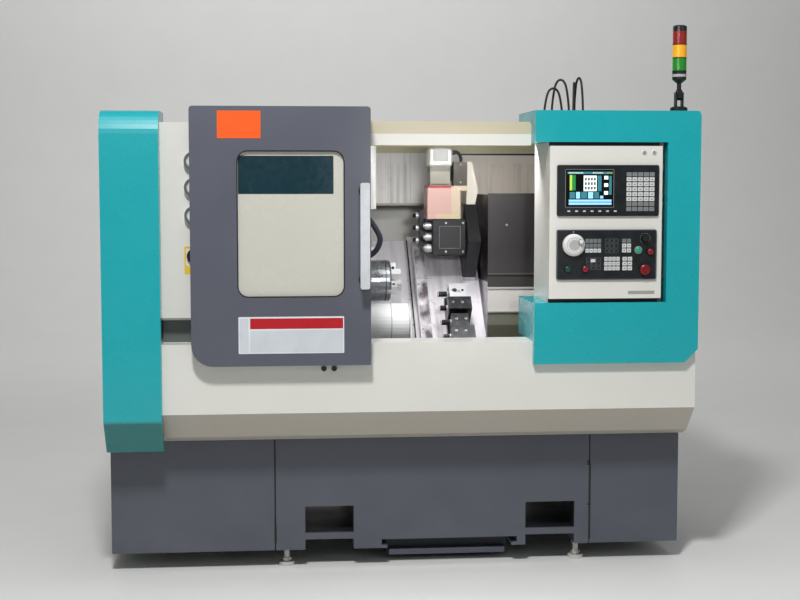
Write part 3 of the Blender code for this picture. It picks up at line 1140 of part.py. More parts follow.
def inner_walls():
    """Fixed cover beside the headstock, and the walls that close the work area.

    The left wall stands round the spindle nose and carries a drum-shaped guard under the chuck."""
    finish(slope_box("way_cover_fixed", FIXED_COVER_X, LEFT_COVER_S, FIXED_COVER_N), "bright_cover")
    x = (GAUGE_RIGHT + FIT, WIDTH / 2 - SHEET - FIT)
    z = (INNER_WALL_LOW, ROOF_TOP - ROOF_SHEET - FIT)
    wall = box("inner_wall", x, (INNER_WALL_Y, INNER_WALL_Y + INNER_WALL), z)
    radius = INNER_GUARD_RADIUS
    guard = [(x[0], INNER_GUARD_FRONT), (INNER_GUARD_X - radius, INNER_GUARD_FRONT)]
    guard += arc((INNER_GUARD_X - radius, INNER_GUARD_FRONT + radius), radius, -90, 0, 5)[1:]
    guard += [(INNER_GUARD_X, INNER_WALL_Y + LAP / 2), (x[0], INNER_WALL_Y + LAP / 2)]
    join(wall, prism("headstock_guard", guard, "Z", z[0], z[1]))
    back = INNER_WALL_Y + INNER_WALL / 2
    outline = [(INNER_GUARD_FRONT, z[0] + LAP), (INNER_GUARD_FRONT, BULKHEAD_LOW),
               slope_at_height(BULKHEAD_LOW, BULKHEAD_N), slope_at_depth(back, BULKHEAD_N),
               (back, z[0] + LAP)]
    bulkhead = prism("bulkhead", outline, "X", x[0], x[0] + BULKHEAD)
    drum = rod("drum", (x[0] + BULKHEAD / 2, *DRUM_AT), (DRUM_END, *DRUM_AT), DRUM_RADIUS, 32)
    join(wall, bulkhead, drum)
    cut(wall, rod("nose_hole", (x[0] - PAST, AXIS_Y, AXIS_Z), (x[0] + BULKHEAD + PAST, AXIS_Y, AXIS_Z),
                  NOSE_HOLE_RADIUS, 32))
    finish(smooth(wall, 30), "white_paint")


def tube(name, points, radius, sides=1):
    """A round tube along a smooth curve through the given points."""
    route = catmull(points, CURVE_STEPS)
    curve = bpy.data.curves.new(name, "CURVE")
    curve.dimensions = "3D"
    curve.bevel_depth = radius
    curve.bevel_resolution = sides
    curve.use_fill_caps = True
    spline = curve.splines.new("POLY")
    spline.points.add(len(route) - 1)
    for place, point in zip(spline.points, route):
        place.co = (*point, 1.0)
    obj = bpy.data.objects.new(name, curve)
    bpy.context.collection.objects.link(obj)
    return obj


def catmull(points, steps):
    """A smooth route through every point."""
    knots = [Vector(p) for p in points]
    knots = [knots[0] * 2 - knots[1]] + knots + [knots[-1] * 2 - knots[-2]]
    route = []
    for a, b, c, d in zip(knots, knots[1:], knots[2:], knots[3:]):
        for step in range(steps):
            t = step / steps
            route.append(0.5 * (2 * b + (c - a) * t + (2 * a - 5 * b + 4 * c - d) * t * t
                                + (3 * b - a - 3 * c + d) * t * t * t))
    route.append(knots[-2])
    return route


def cables():
    """Cable arches that rise from one gland plate on the roof and go back into it."""
    plate_z = (ROOF_TOP + FIT, ROOF_TOP + FIT + CABLE_PLATE)
    plate = box("cable_loops", CABLE_PLATE_X, CABLE_PLATE_Y, plate_z)
    foot = plate_z[1] - LAP / 2
    for (start_x, start_y), (end_x, end_y), rise in CABLE_ARCHES:
        straight = CABLE_STRAIGHT / rise
        route = [(0.0, 0.0), (0.0, straight), *CABLE_BOW, (1.0, straight), (1.0, 0.0)]
        run_x, run_y = end_x - start_x, end_y - start_y
        points = [(start_x + run_x * across, start_y + run_y * across, foot + rise * up)
                  for across, up in route]
        join(plate, as_mesh(tube("cable_arch", points, CABLE_RADIUS)))
    finish(plate, "black_rubber")


def as_mesh(curve_object):
    """A mesh object in place of a curve, so that it can be joined to another."""
    depsgraph = bpy.context.evaluated_depsgraph_get()
    mesh = bpy.data.meshes.new_from_object(curve_object.evaluated_get(depsgraph))
    name = curve_object.name
    bpy.data.objects.remove(curve_object, do_unlink=True)
    made = bpy.data.objects.new(name, mesh)
    bpy.context.collection.objects.link(made)
    shape = bmesh.new()
    shape.from_mesh(mesh)
    bmesh.ops.remove_doubles(shape, verts=shape.verts, dist=0.00001)
    bmesh.ops.recalc_face_normals(shape, faces=shape.faces)
    shape.to_mesh(mesh)
    shape.free()
    return made


def coolant_hose():
    """The hose that leaves the guard above the headstock and points at the chuck."""
    hose = as_mesh(tube("coolant_hose", HOSE_ROUTE, HOSE_RADIUS, 2))
    end = Vector(HOSE_ROUTE[-1])
    nozzle = turned("nozzle", NOZZLE_PROFILE, tuple((HOSE_AIM - end).normalized()), tuple(end), 12)
    finish(join(hose, nozzle), "black_rubber")


def build():
    clear_scene()
    base()
    front_apron()
    left_strip()
    gauge_panel()
    side_panels()
    roof()
    rear()
    door()
    console()
    control_box()
    signal_tower()
    bed()
    headstock()
    spindle()
    belt_drive()
    saddle()
    cross_slide()
    live_tools()
    inner_walls()
    cables()
    coolant_hose()


build()
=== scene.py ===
"""Looks of the slant-bed turning lathe: finishes, small fittings, panel keys, cables, light and camera.

Metres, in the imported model's own frame: +Z up, the operator at -Y, the spindle along X. Along X, pieces,
cables and zones of colour are placed by stations, measured from the machine's left end."""
from itertools import product
from math import cos, hypot, pi, radians, sin
import bmesh
import bpy
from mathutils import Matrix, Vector


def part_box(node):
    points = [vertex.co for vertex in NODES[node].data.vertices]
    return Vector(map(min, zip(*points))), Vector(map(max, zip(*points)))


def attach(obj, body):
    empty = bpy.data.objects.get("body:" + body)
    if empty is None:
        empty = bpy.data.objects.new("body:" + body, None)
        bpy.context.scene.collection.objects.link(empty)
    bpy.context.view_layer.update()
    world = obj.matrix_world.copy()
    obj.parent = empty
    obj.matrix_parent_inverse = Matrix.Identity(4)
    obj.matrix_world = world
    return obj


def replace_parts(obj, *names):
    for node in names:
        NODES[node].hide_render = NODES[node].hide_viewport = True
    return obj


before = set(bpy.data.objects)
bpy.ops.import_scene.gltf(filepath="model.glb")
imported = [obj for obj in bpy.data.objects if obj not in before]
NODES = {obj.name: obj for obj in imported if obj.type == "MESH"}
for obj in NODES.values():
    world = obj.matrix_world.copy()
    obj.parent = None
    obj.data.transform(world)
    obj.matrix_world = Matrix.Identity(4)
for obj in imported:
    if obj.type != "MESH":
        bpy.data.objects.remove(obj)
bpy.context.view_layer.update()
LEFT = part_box("left_strip")[0].x


def X(station):
    """Place in the frame of a station."""
    return LEFT + station


FRONT = (0, -1, 0)
BACK = (0, 1, 0)
UP = (0, 0, 1)
DOWN = (0, 0, -1)
RIGHTWARD = (1, 0, 0)
LEFTWARD = (-1, 0, 0)

# Planes and places that several pieces share
AXIS_Y = -0.064
AXIS_Z = 1.085
SLOPE = radians(45)
OFF_SLOPE = (0, -sin(SLOPE), cos(SLOPE))
DOOR_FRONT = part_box("door_frame")[0].y
PANE_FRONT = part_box("door_window")[0].y
CONSOLE_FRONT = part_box("console_frame")[0].y
UNIT_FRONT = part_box("display_unit")[0].y
GAUGE_FRONT = -0.574
BASE_FRONT = -0.4
ROOF_TOP = 1.7
REAR_WALL = 0.33           # front of the work area's rear wall
FOOT_TOP = 0.0698
FILM = 0.0004               # thickness of a sticker
LINE = 0.0003               # half of the soft edge between two zones of colour
CLEAR = 0.0002              # gap between a piece and what it sits on
SHARP = radians(35)         # a turn of more than this between two faces is an edge

# Camera, where the photograph was taken from, and aimed at the machine
CAMERA_AT = (-0.533, -5.964, 1.5)
CAMERA_AIM = (-0.018, -0.6, 1.05)
CAMERA_LENS = 66.0

# Colours, as sRGB from 0 to 255
WHITE = (224, 223, 216)
TEAL = (26, 166, 174)
SHADE_TEAL = (4, 112, 108)
BASE_GREY = (76, 80, 91)
DOOR_GREY = (88, 91, 102)
BLACK = (24, 24, 26)
BRIGHT = (234, 232, 238)
OIL = (142, 134, 142)


def linear(color, factor=1.0):
    """Linear colour of an sRGB one, made darker or lighter by a factor."""
    parts = []
    for value in color:
        part = value / 255
        part = part / 12.92 if part <= 0.04045 else ((part + 0.055) / 1.055) ** 2.4
        parts.append(min(part * factor, 1.0))
    return (*parts, 1.0)


class Finish:
    """One procedural material: a Principled shader and the nodes that feed it, on object coordinates."""

    def __init__(self, name, color, roughness=0.5, metallic=0.0, **sockets):
        self.name = name
        self.material = bpy.data.materials.new(name)
        self.material.use_nodes = True
        self.nodes = self.material.node_tree.nodes
        self.links = self.material.node_tree.links
        self.shader = self.nodes["Principled BSDF"]
        self.color = linear(color)
        self.shader.inputs["Base Color"].default_value = self.color
        self.shader.inputs["Roughness"].default_value = roughness
        self.shader.inputs["Metallic"].default_value = metallic
        for socket, value in sockets.items():
            self.shader.inputs[socket.replace("_", " ")].default_value = value
        self.place = self.nodes.new("ShaderNodeTexCoord").outputs["Object"]

    def node(self, kind, sockets, **settings):
        """Outputs of a new node. Each socket gets a value or the output of another node."""
        node = self.nodes.new("ShaderNode" + kind)
        for name, value in settings.items():
            setattr(node, name, value)
        for socket, value in sockets.items():
            if isinstance(value, bpy.types.NodeSocket):
                self.links.new(value, node.inputs[socket])
            else:
                node.inputs[socket].default_value = value
        return node.outputs

    def mapped(self, scale=(1, 1, 1), shift=(0, 0, 0)):
        """The place, scaled and then moved."""
        return self.node("Mapping", {"Vector": self.place, "Scale": scale, "Location": shift})["Vector"]

    def noise(self, scale, detail, stretch=(1, 1, 1)):
        sockets = {"Vector": self.mapped(stretch), "Scale": scale, "Detail": detail}
        return self.node("TexNoise", sockets)["Fac"]

    def bands(self, scale, axis):
        sockets = {"Vector": self.mapped(), "Scale": scale}
        return self.node("TexWave", sockets, bands_direction=axis)["Fac"]

    def rings(self, scale, distortion):
        """Rings round the spindle."""
        place = self.mapped(shift=(0, -AXIS_Y, -AXIS_Z))
        sockets = {"Vector": place, "Scale": scale, "Distortion": distortion}
        return self.node("TexWave", sockets, wave_type="RINGS", rings_direction="X")["Fac"]

    def along(self, axis):
        """Distance along one axis of the frame."""
        return self.node("SeparateXYZ", {"Vector": self.place})[axis]

    def grade(self, value, low, high, start=0.0, end=1.0):
        """Value from start at low to end at high, held outside."""
        sockets = {"Value": value, "From Min": low, "From Max": high, "To Min": start, "To Max": end}
        return self.node("MapRange", sockets)["Result"]

    def times(self, a, b):
        return self.node("Math", {0: a, 1: b}, operation="MULTIPLY")["Value"]

    def tint(self, amount, color, shade=1.0):
        """The colour so far, mixed by an amount towards another one in a darker or lighter shade."""
        base = self.shader.inputs["Base Color"]
        before = base.links[0].from_socket if base.is_linked else self.color
        mixed = self.node("Mix", {"A": before, "B": linear(color, shade), "Factor": amount}, data_type="RGBA")
        self.links.new(mixed["Result"], base)
        return self

    def clouds(self, scale, detail, low, high, amount, color, shade=1.0, stretch=(1, 1, 1)):
        """Patches of another colour, which start where the noise is low and are full where it is high."""
        return self.tint(self.grade(self.noise(scale, detail, stretch), low, high, 0.0, amount), color, shade)

    def within(self, axis, low, high):
        """1 between low and high along one axis, 0 outside. Along X these are stations."""
        if axis == "X":
            low, high = X(low), X(high)
        rise = self.grade(self.along(axis), low - LINE, low + LINE)
        return self.times(rise, self.grade(self.along(axis), high - LINE, high + LINE, 1.0, 0.0))

    def zone(self, color, amount=1.0, **ranges):
        """Another colour where the place lies in every given range, such as Z=(low, high)."""
        mask = amount
        for axis, (low, high) in ranges.items():
            mask = self.times(self.within(axis, low, high), mask)
        return self.tint(mask, color)

    def rough(self, scale, detail, low, high, stretch=(1, 1, 1)):
        """Roughness between low and high in patches."""
        value = self.grade(self.noise(scale, detail, stretch), 0.3, 0.7, low, high)
        self.links.new(value, self.shader.inputs["Roughness"])
        return self

    def bump(self, height, strength, distance):
        normal = self.node("Bump", {"Height": height, "Strength": strength, "Distance": distance})["Normal"]
        self.links.new(normal, self.shader.inputs["Normal"])
        return self


def paint(name, color, roughness=0.34):
    """Sprayed paint on sheet metal: faint clouds of tone and orange peel."""
    finish = Finish(name, color, roughness, Coat_Weight=0.25, Coat_Roughness=0.12)
    finish.clouds(1.7, 4, 0.38, 0.7, 0.35, color, 0.86)
    finish.clouds(9.0, 5, 0.55, 0.8, 0.16, color, 1.12)
    finish.rough(6.0, 6, roughness - 0.06, roughness + 0.1)
    return finish.bump(finish.noise(260.0, 2), 0.1, 0.0006)


def sheet_metal(name, color, streaks, streak_color, roughness, metallic):
    """Bright cover sheet with brushing along X and oil that has run down it."""
    finish = Finish(name, color, roughness, metallic)
    finish.clouds(7.0, 6, 0.5, 0.72, streaks, streak_color, 1.0, (3.2, 0.35, 0.35))
    finish.clouds(38.0, 4, 0.6, 0.74, streaks * 0.5, streak_color, 0.7)
    finish.clouds(2.2, 4, 0.4, 0.7, 0.3, color, 0.72)
    finish.rough(18.0, 6, roughness - 0.08, roughness + 0.16, (0.1, 1, 1))
    return finish.bump(finish.noise(90.0, 3, (0.04, 1, 1)), 0.1, 0.0004)


def metal(name, color, roughness, metallic=1.0):
    finish = Finish(name, color, roughness, metallic)
    finish.clouds(22.0, 5, 0.45, 0.75, 0.3, color, 0.62)
    return finish.rough(60.0, 4, roughness, roughness + 0.12)


def milled(*values):
    """Metal with tool marks along Y."""
    finish = metal(*values)
    return finish.bump(finish.noise(140.0, 3, (1, 0.08, 1)), 0.15, 0.0003)


def lathed(*values):
    """Metal whose tool marks are rings round the spindle."""
    finish = metal(*values)
    return finish.bump(finish.rings(160.0, 0.4), 0.25, 0.0003)


def casting(name, color):
    finish = Finish(name, color, 0.55, 0.25)
    finish.clouds(30.0, 6, 0.45, 0.7, 0.5, color, 0.62)
    finish.rough(12.0, 4, 0.4, 0.68)
    return finish.bump(finish.noise(210.0, 5), 0.35, 0.0012)


def plastic(name, color, roughness, grain):
    """Moulded plastic or film with a fine grain."""
    finish = Finish(name, color, roughness)
    finish.clouds(16.0, 4, 0.45, 0.75, 0.35, color, 0.75)
    finish.rough(40.0, 4, roughness - 0.08, roughness + 0.1)
    return finish.bump(finish.noise(420.0, 2), grain, 0.0003)


def rubber(name, color, worn):
    finish = Finish(name, color, 0.62)
    finish.clouds(30.0, 5, 0.45, 0.75, 0.4, worn)
    return finish.bump(finish.noise(300.0, 3), 0.2, 0.0004)


def lens(name, color, glow=0.12):
    """Ribbed plastic lens of a signal lamp that is not lit, with a faint painted glow."""
    # Painted glow: faint emission in the lens's colour, though the lamp is off.
    finish = Finish(name, color, 0.22, Coat_Weight=0.6, Coat_Roughness=0.08, Emission_Strength=glow)
    finish.shader.inputs["Emission Color"].default_value = finish.color
    ribs = finish.bands(95.0, "Z")
    finish.tint(finish.grade(ribs, 0.2, 0.8, 0.0, 0.35), color, 0.55)
    return finish.bump(ribs, 0.5, 0.001)


def screen(name, color):
    """Lit field of the screen, with its fine rows."""
    finish = Finish(name, color, 0.25, Emission_Strength=0.8)
    finish.shader.inputs["Emission Color"].default_value = finish.color
    return finish.tint(finish.grade(finish.bands(330.0, "Z"), 0.3, 0.7, 0.0, 0.25), color, 0.7)


def teal_paint():
    """Teal, in shade low down, where the left strip turns in under itself."""
    finish = paint("teal_paint", TEAL, 0.26)
    low = finish.grade(finish.along("Z"), 0.606, 0.612, 1.0, 0.0)
    return finish.tint(finish.times(low, 0.9), SHADE_TEAL)


def base_paint():
    """Grey of the base, a little paler low down, with painted shade inside the lift-truck pockets and bare
    zinc feet.
    """
    finish = paint("base_paint", BASE_GREY, 0.42)
    haze = finish.grade(finish.along("Z"), 0.1, 0.42, 0.35, 0.0)
    finish.tint(finish.times(haze, finish.grade(finish.noise(5.0, 5), 0.35, 0.75)), (106, 109, 118))
    # Painted shade: the insides of the lift-truck pockets, which run through the base, darkened to near
    # black.
    for pocket in ((0.733, 0.924), (1.591, 1.789)):
        finish.zone((22, 26, 31), X=pocket, Y=(-0.385, 0.545), Z=(0.132, 0.242))
    return finish.zone((196, 196, 190), Z=(-0.01, FOOT_TOP))


def apron_paint():
    """White apron with painted shade on its downward-facing chamfer, dark door stops, and painted shade in
    the channel behind the door.
    """
    finish = paint("apron_paint", WHITE)
    # Painted shade: darker beige on the chamfer under the apron's front.
    finish.zone((158, 148, 132), 0.7, Z=(0.5, 0.6345))
    finish.zone((26, 26, 28), X=(0.78, 0.86), Y=(-0.64, -0.6044), Z=(0.78, 0.82))
    # Painted shade: dark grey-green in the recessed channel behind the door.
    return finish.zone((92, 100, 98), Y=(-0.52, -0.44), Z=(0.893, 1.0))


def roof_paint():
    """White header and roof, with painted shade in a warm beige along the header's top and on its underside
    over the work area.
    """
    finish = paint("roof_paint", WHITE)
    # Painted shade: warm beige along the header's top band.
    finish.zone((188, 176, 142), 0.75, Y=(-0.56, -0.3), Z=(1.661, 1.708))
    # Painted shade: warm beige on the header's underside.
    return finish.zone((176, 168, 132), 0.8, Y=(-0.56, -0.3), Z=(1.6, 1.6195))


def side_paint():
    """White side panels with the dark gaps round their service covers."""
    finish = paint("side_paint", WHITE)
    for low, high in ((0.64, 1.02), (1.06, 1.56)):
        for at in (low, high):
            finish.zone((60, 62, 62), 0.9, Y=(-0.3, 0.4), Z=(at, at + 0.004))
        for at in (-0.3, 0.396):
            finish.zone((60, 62, 62), 0.9, Y=(at, at + 0.004), Z=(low, high))
    return finish


def housing_paint():
    """White housing whose rim round its mouth, behind the swinging panel, is painted black as the shaded gap
    round the panel.
    """
    # Painted shade: black rim for the shaded gap round the swinging panel.
    return paint("housing_paint", WHITE).zone((20, 21, 22), X=(1.633, 2.06), Y=(-0.61, -0.601))


def tray_paint():
    """Tray whose body is painted near black as the shade under the base's skirt, with a paler lip."""
    # Painted shade: near-black body, standing for the shade behind and under the skirt.
    finish = Finish("tray_paint", (24, 28, 38), 0.48, 0.2)
    finish.clouds(12.0, 5, 0.4, 0.75, 0.4, (44, 46, 52))
    return finish.zone((112, 118, 132), Y=(-0.33, -0.2915))


def right_cover():
    """Dark cover above, a pale plate under it, and an oily trough at the bottom."""
    finish = Finish("right_cover", (46, 42, 45), 0.42, 0.1)
    finish.clouds(2.4, 5, 0.4, 0.72, 0.55, (66, 60, 58))
    finish.clouds(24.0, 6, 0.55, 0.75, 0.25, (40, 36, 36), 1.0, (2.0, 1, 0.3))
    finish.zone((84, 76, 70), Z=(1.1, 1.112))
    finish.zone((206, 200, 196), Z=(0.955, 1.0555))
    finish.zone((112, 112, 100), Z=(0.8, 0.955))
    finish.zone((170, 170, 155), 0.7, X=(1.7, 1.79), Z=(0.905, 0.955))
    finish.zone((72, 70, 58), 0.9, Z=(0.8, 0.9))
    return finish.rough(14.0, 5, 0.3, 0.52)


def wall_sheet():
    """Pale inner walls with coolant runs, painted shade low on the rear wall and at its top under the roof,
    and the white drum under the chuck.
    """
    finish = sheet_metal("wall_sheet", (226, 224, 222), 0.3, (164, 158, 154), 0.42, 0.05)
    finish.zone((226, 210, 194), 0.7, X=(1.43, 2.2), Z=(1.37, 1.7))
    # Painted shade: slightly darker warm grey low on the rear wall, under its upper part.
    finish.zone((212, 210, 200), 0.7, X=(0.94, 1.3), Y=(0.25, 0.35), Z=(1.25, 1.372))
    runs = finish.grade(finish.noise(16.0, 5, (3.0, 3.0, 0.12)), 0.5, 0.66, 0.0, 0.55)
    finish.tint(finish.times(runs, finish.within("Z", 1.37, 1.56)), (176, 172, 160))
    # Painted shade: warm beige at the top of the rear wall, under the roof.
    finish.zone((182, 174, 138), 0.9, Y=(0.25, 0.35), Z=(1.6045, 1.7))
    return finish.zone((236, 236, 238), 0.9, X=(0.94, 1.18), Y=(-0.26, -0.08), Z=(0.8, 1.005))


def slide_cover():
    """Bright cross-slide cover with dark runs at its left, a black column and a white bracket."""
    finish = sheet_metal("slide_cover", (228, 224, 230), 0.55, (108, 100, 106), 0.34, 0.15)
    runs = finish.grade(finish.noise(30.0, 6, (0.5, 0.35, 0.35)), 0.42, 0.6)
    finish.tint(finish.times(runs, finish.within("X", 1.22, 1.262)), (96, 86, 90))
    finish.zone((34, 34, 37), X=(1.4135, 1.47), Z=(1.085, 1.4))
    return finish.zone((212, 206, 192), X=(1.4265, 1.48), Y=(0.099, 0.107), Z=(1.319, 1.57))


def saddle_cover():
    """Bright saddle cover, dark where it stands behind the tools."""
    finish = sheet_metal("saddle_cover", (230, 227, 233), 0.32, OIL, 0.36, 0.15)
    return finish.zone((46, 43, 46), X=(1.4785, 1.506), Z=(1.075, 1.44))


def live_unit():
    """Black spindle block, pink belt cover with a red edge, grey gear box, dark drive box and pale motor."""
    finish = Finish("live_unit", (24, 24, 28), 0.34, 0.25)
    finish.clouds(40.0, 5, 0.5, 0.75, 0.4, (58, 58, 64))
    finish.zone((184, 148, 140), X=(1.2515, 1.354), Z=(1.3305, 1.4665))
    finish.zone((184, 166, 144), X=(1.354, 1.43), Z=(1.3305, 1.4665))
    finish.zone((188, 182, 134), 0.5, X=(1.29, 1.4), Z=(1.3305, 1.35))
    finish.zone((166, 72, 72), X=(1.2, 1.354), Z=(1.456, 1.4675))
    finish.zone((126, 122, 110), X=(1.2, 1.357), Z=(1.4675, 1.5445))
    finish.zone((82, 78, 70), 0.8, X=(1.2, 1.357), Z=(1.525, 1.5445))
    finish.zone((50, 41, 32), X=(1.357, 1.43), Z=(1.467, 1.57))
    finish.zone((218, 217, 208), X=(1.2, 1.362), Z=(1.5445, 1.63))
    return finish.rough(20.0, 4, 0.28, 0.46)


def gang_metal():
    """Black holders with wiped, brighter flats."""
    finish = Finish("gang_metal", (26, 26, 30), 0.32, 0.35)
    finish.clouds(34.0, 5, 0.48, 0.7, 0.5, (84, 82, 88))
    return finish.bump(finish.noise(120.0, 3, (1, 0.1, 1)), 0.12, 0.0003)


def top_lens():
    """Red lens with the tower's black cap over it. It doesn't glow, because the cap has the same shader."""
    return lens("lens_red", (150, 25, 18), 0.0).zone(BLACK, Z=(2.0392, 2.1))


def pane():
    """Clear window under its milky protective film."""
    finish = Finish("pane", (204, 203, 191), 0.22, Coat_Weight=0.7, Coat_Roughness=0.05)
    finish.clouds(2.0, 3, 0.35, 0.75, 0.5, (199, 198, 186))
    finish.rough(5.0, 6, 0.16, 0.34)
    return finish.bump(finish.noise(9.0, 3), 0.1, 0.0015)


PLASTICS = (                # name, colour, roughness, grain
    ("glass_black", (12, 14, 16), 0.12, 0.02), ("black_plastic", BLACK, 0.42, 0.25),
    ("panel_film", (24, 28, 31), 0.36, 0.15), ("green_button", (30, 165, 125), 0.28, 0.05),
    ("dark_green_button", (20, 74, 54), 0.3, 0.05), ("red_button", (140, 26, 40), 0.28, 0.05),
    ("stop_button", (120, 20, 24), 0.3, 0.05), ("key_light", (206, 208, 206), 0.4, 0.1),
    ("key_grey", (128, 131, 132), 0.42, 0.1), ("key_dark", (30, 33, 35), 0.4, 0.1),
    ("mark_grey", (112, 118, 120), 0.45, 0.05), ("plate_grey", (160, 161, 150), 0.35, 0.05),
    ("module_grey", (96, 100, 104), 0.48, 0.2), ("duct_grey", (170, 174, 172), 0.5, 0.2),
    ("dial_white", (226, 225, 222), 0.35, 0.04), ("dial_grey", (176, 176, 174), 0.35, 0.04),
    ("dial_black", (20, 20, 20), 0.4, 0.04), ("dial_red", (180, 30, 24), 0.4, 0.04),
    ("yellow", (238, 196, 40), 0.38, 0.06), ("orange_sticker", (250, 92, 8), 0.45, 0.1),
    ("red_sticker", (184, 12, 30), 0.4, 0.06), ("white_sticker", (226, 229, 232), 0.36, 0.06),
    ("pale_sticker", (205, 211, 216), 0.38, 0.06), ("banner_film", (18, 50, 60), 0.2, 0.03),
)
FINISHES = {finish.name: finish for finish in (
    paint("white_paint", WHITE), apron_paint(), roof_paint(), side_paint(), housing_paint(), tray_paint(),
    teal_paint(), base_paint(), paint("door_paint", DOOR_GREY), pane(),
    sheet_metal("bright_cover", BRIGHT, 0.32, OIL, 0.36, 0.15), saddle_cover(), slide_cover(), wall_sheet(),
    sheet_metal("zinc_plate", (190, 190, 182), 0.1, (150, 142, 130), 0.42, 0.5), right_cover(), live_unit(),
    casting("cast_iron", (92, 94, 96)), casting("white_casting", (206, 205, 200)),
    casting("bed_casting", (190, 192, 180)), gang_metal(), milled("steel", (186, 187, 188), 0.28),
    lathed("turned_steel", (205, 206, 208), 0.3, 0.6), lathed("blued_chuck", (146, 148, 152), 0.25, 0.95),
    milled("aluminium", (206, 209, 212), 0.42, 0.35), milled("bright_clamp", (216, 216, 220), 0.26, 0.55),
    milled("black_steel", (34, 34, 37), 0.36, 0.5), milled("gold_insert", (196, 158, 70), 0.3, 0.6),
    milled("zinc", (202, 202, 198), 0.36, 0.5), rubber("black_rubber", (22, 22, 23), (52, 50, 47)),
    rubber("hose_rubber", (24, 22, 44), (50, 48, 74)),
    lens("lens_green", (22, 135, 26)), lens("lens_amber", (250, 178, 16)), top_lens(),
    screen("screen_blue", (140, 196, 238)), screen("screen_teal", (50, 110, 120)),
    screen("screen_green", (30, 120, 60)), screen("screen_yellow", (165, 190, 70)),
    screen("screen_white", (225, 235, 230)), *(plastic(*values) for values in PLASTICS),
)}
NODE_FINISH = {
    "white_paint": "rear_panel rear_cabinet cabinet_door gauge_panel panel_door",
    "side_paint": "right_side_panel left_side_panel",
    "housing_paint": "control_housing",
    "apron_paint": "front_apron",
    "roof_paint": "roof_cover",
    "teal_paint": "left_strip console_frame",
    "base_paint": "base_centre base_left_cover base_right_cover",
    "tray_paint": "chip_tray",
    "door_paint": "door_frame",
    "pane": "door_window",
    "cast_iron": "spindle_motor",
    "bed_casting": "slant_bed",
    "white_casting": "headstock",
    "wall_sheet": "inner_wall",
    "bright_cover": "way_cover_left way_cover_fixed",
    "right_cover": "way_cover_right",
    "saddle_cover": "z_saddle",
    "slide_cover": "cross_slide",
    "gang_metal": "gang_tools",
    "live_unit": "live_tool_unit",
    "blued_chuck": "chuck_body",
    "turned_steel": "spindle_shaft chuck_jaw_1 chuck_jaw_2 chuck_jaw_3 motor_pulley "
                    "live_spindle_1 live_spindle_2 live_spindle_3",
    "steel": "z_screw",
    "aluminium": "door_handle",
    "dial_white": "handwheel",
    "black_plastic": "roller_left roller_right tower_foot tower_pole override_knob main_switch",
    "black_rubber": "drive_belt",
    "panel_film": "display_unit operation_panel",
    "dark_green_button": "power_on_button",
    "red_button": "power_off_button feed_hold_button",
    "stop_button": "emergency_stop",
    "green_button": "cycle_start_button",
    "lens_green": "lamp_green",
    "lens_amber": "lamp_amber",
    "lens_red": "lamp_red",
}


def dress_nodes():
    for finish, names in NODE_FINISH.items():
        for name in names.split():
            for slot in NODES[name].material_slots:
                slot.material = FINISHES[finish].material


def add(name, data):
    """A new object in the scene."""
    thing = bpy.data.objects.new(name, data)
    bpy.context.collection.objects.link(thing)
    return thing


def aim(thing, at, target):
    """Sets a lamp or camera down at a place and points it at a target."""
    thing.location = at
    thing.rotation_euler = (Vector(target) - Vector(at)).to_track_quat("-Z", "Y").to_euler()


def stage():
    """Plain pale floor and backdrop in one curved sweep."""
    ground = Finish("pale_floor", (236, 236, 233), 0.62)
    ground.clouds(3.0, 6, 0.4, 0.7, 0.25, (228, 228, 225))
    bend, back, half, near, top = 2.5, 10.0, 16.0, -14.0, 9.0
    bow = [radians(angle) for angle in range(0, 91, 10)]
    line = [(near, 0.0), *((back - bend + bend * sin(angle), bend - bend * cos(angle)) for angle in bow)]
    shape = bmesh.new()
    rows = [[shape.verts.new((x, y, z - 0.0005)) for x in (-half, half)] for y, z in (*line, (back, top))]
    for first, second in zip(rows, rows[1:]):
        face = shape.faces.new((first[0], first[1], second[1], second[0]))
        face.smooth = True
    mesh = bpy.data.meshes.new("floor_sweep")
    shape.to_mesh(mesh)
    shape.free()
    mesh.materials.append(ground.material)
    add("floor_sweep", mesh)


def light(name, kind, at, target, watts, **settings):
    """A lamp that the camera doesn't see."""
    data = bpy.data.lights.new(name, kind)
    data.energy = watts
    for setting, value in settings.items():
        setattr(data, setting, value)
    lamp = add(name, data)
    lamp.visible_camera = False
    aim(lamp, at, target)


def area_light(name, at, target, size, watts):
    light(name, "AREA", at, target, watts, shape="RECTANGLE", size=size[0], size_y=size[1])


def light_and_camera():
    area_light("ceiling_light", (0.2, -1.0, 4.6), (0.0, -0.5, 0.6), (4.0, 2.0), 42)
    area_light("key_light", (-0.8, -4.0, 5.0), (0.1, -0.5, 0.8), (0.6, 0.6), 222)
    area_light("backdrop_light", (0.0, 5.5, 6.5), (0.0, 10.0, 1.5), (8.0, 1.5), 215)
    area_light("front_light", (-0.9, -5.2, 2.5), (0.1, -0.5, 1.0), (1.6, 1.2), 8)
    area_light("side_light", (4.2, -3.6, 2.6), (0.4, -0.5, 1.0), (2.0, 2.5), 14)
    area_light("work_light", (0.3, -0.42, 1.606), (0.22, 0.05, 1.05), (0.44, 0.06), 2.8)
    light("opening_light", "SPOT", (0.26, -4.9, 1.95), (0.17, 0.0, 1.22), 260,
          spot_size=radians(11.5), spot_blend=1.0, shadow_soft_size=0.25)
    world = bpy.data.worlds.new("studio")
    bpy.context.scene.world = world
    world.use_nodes = True
    background = world.node_tree.nodes["Background"]
    background.inputs["Color"].default_value = (0.93, 0.96, 1.0, 1.0)
    background.inputs["Strength"].default_value = 0.13
    camera = add("camera", bpy.data.cameras.new("camera"))
    camera.data.lens = CAMERA_LENS
    aim(camera, CAMERA_AT, CAMERA_AIM)
    bpy.context.scene.camera = camera
    bpy.context.scene.view_settings.view_transform = "Standard"


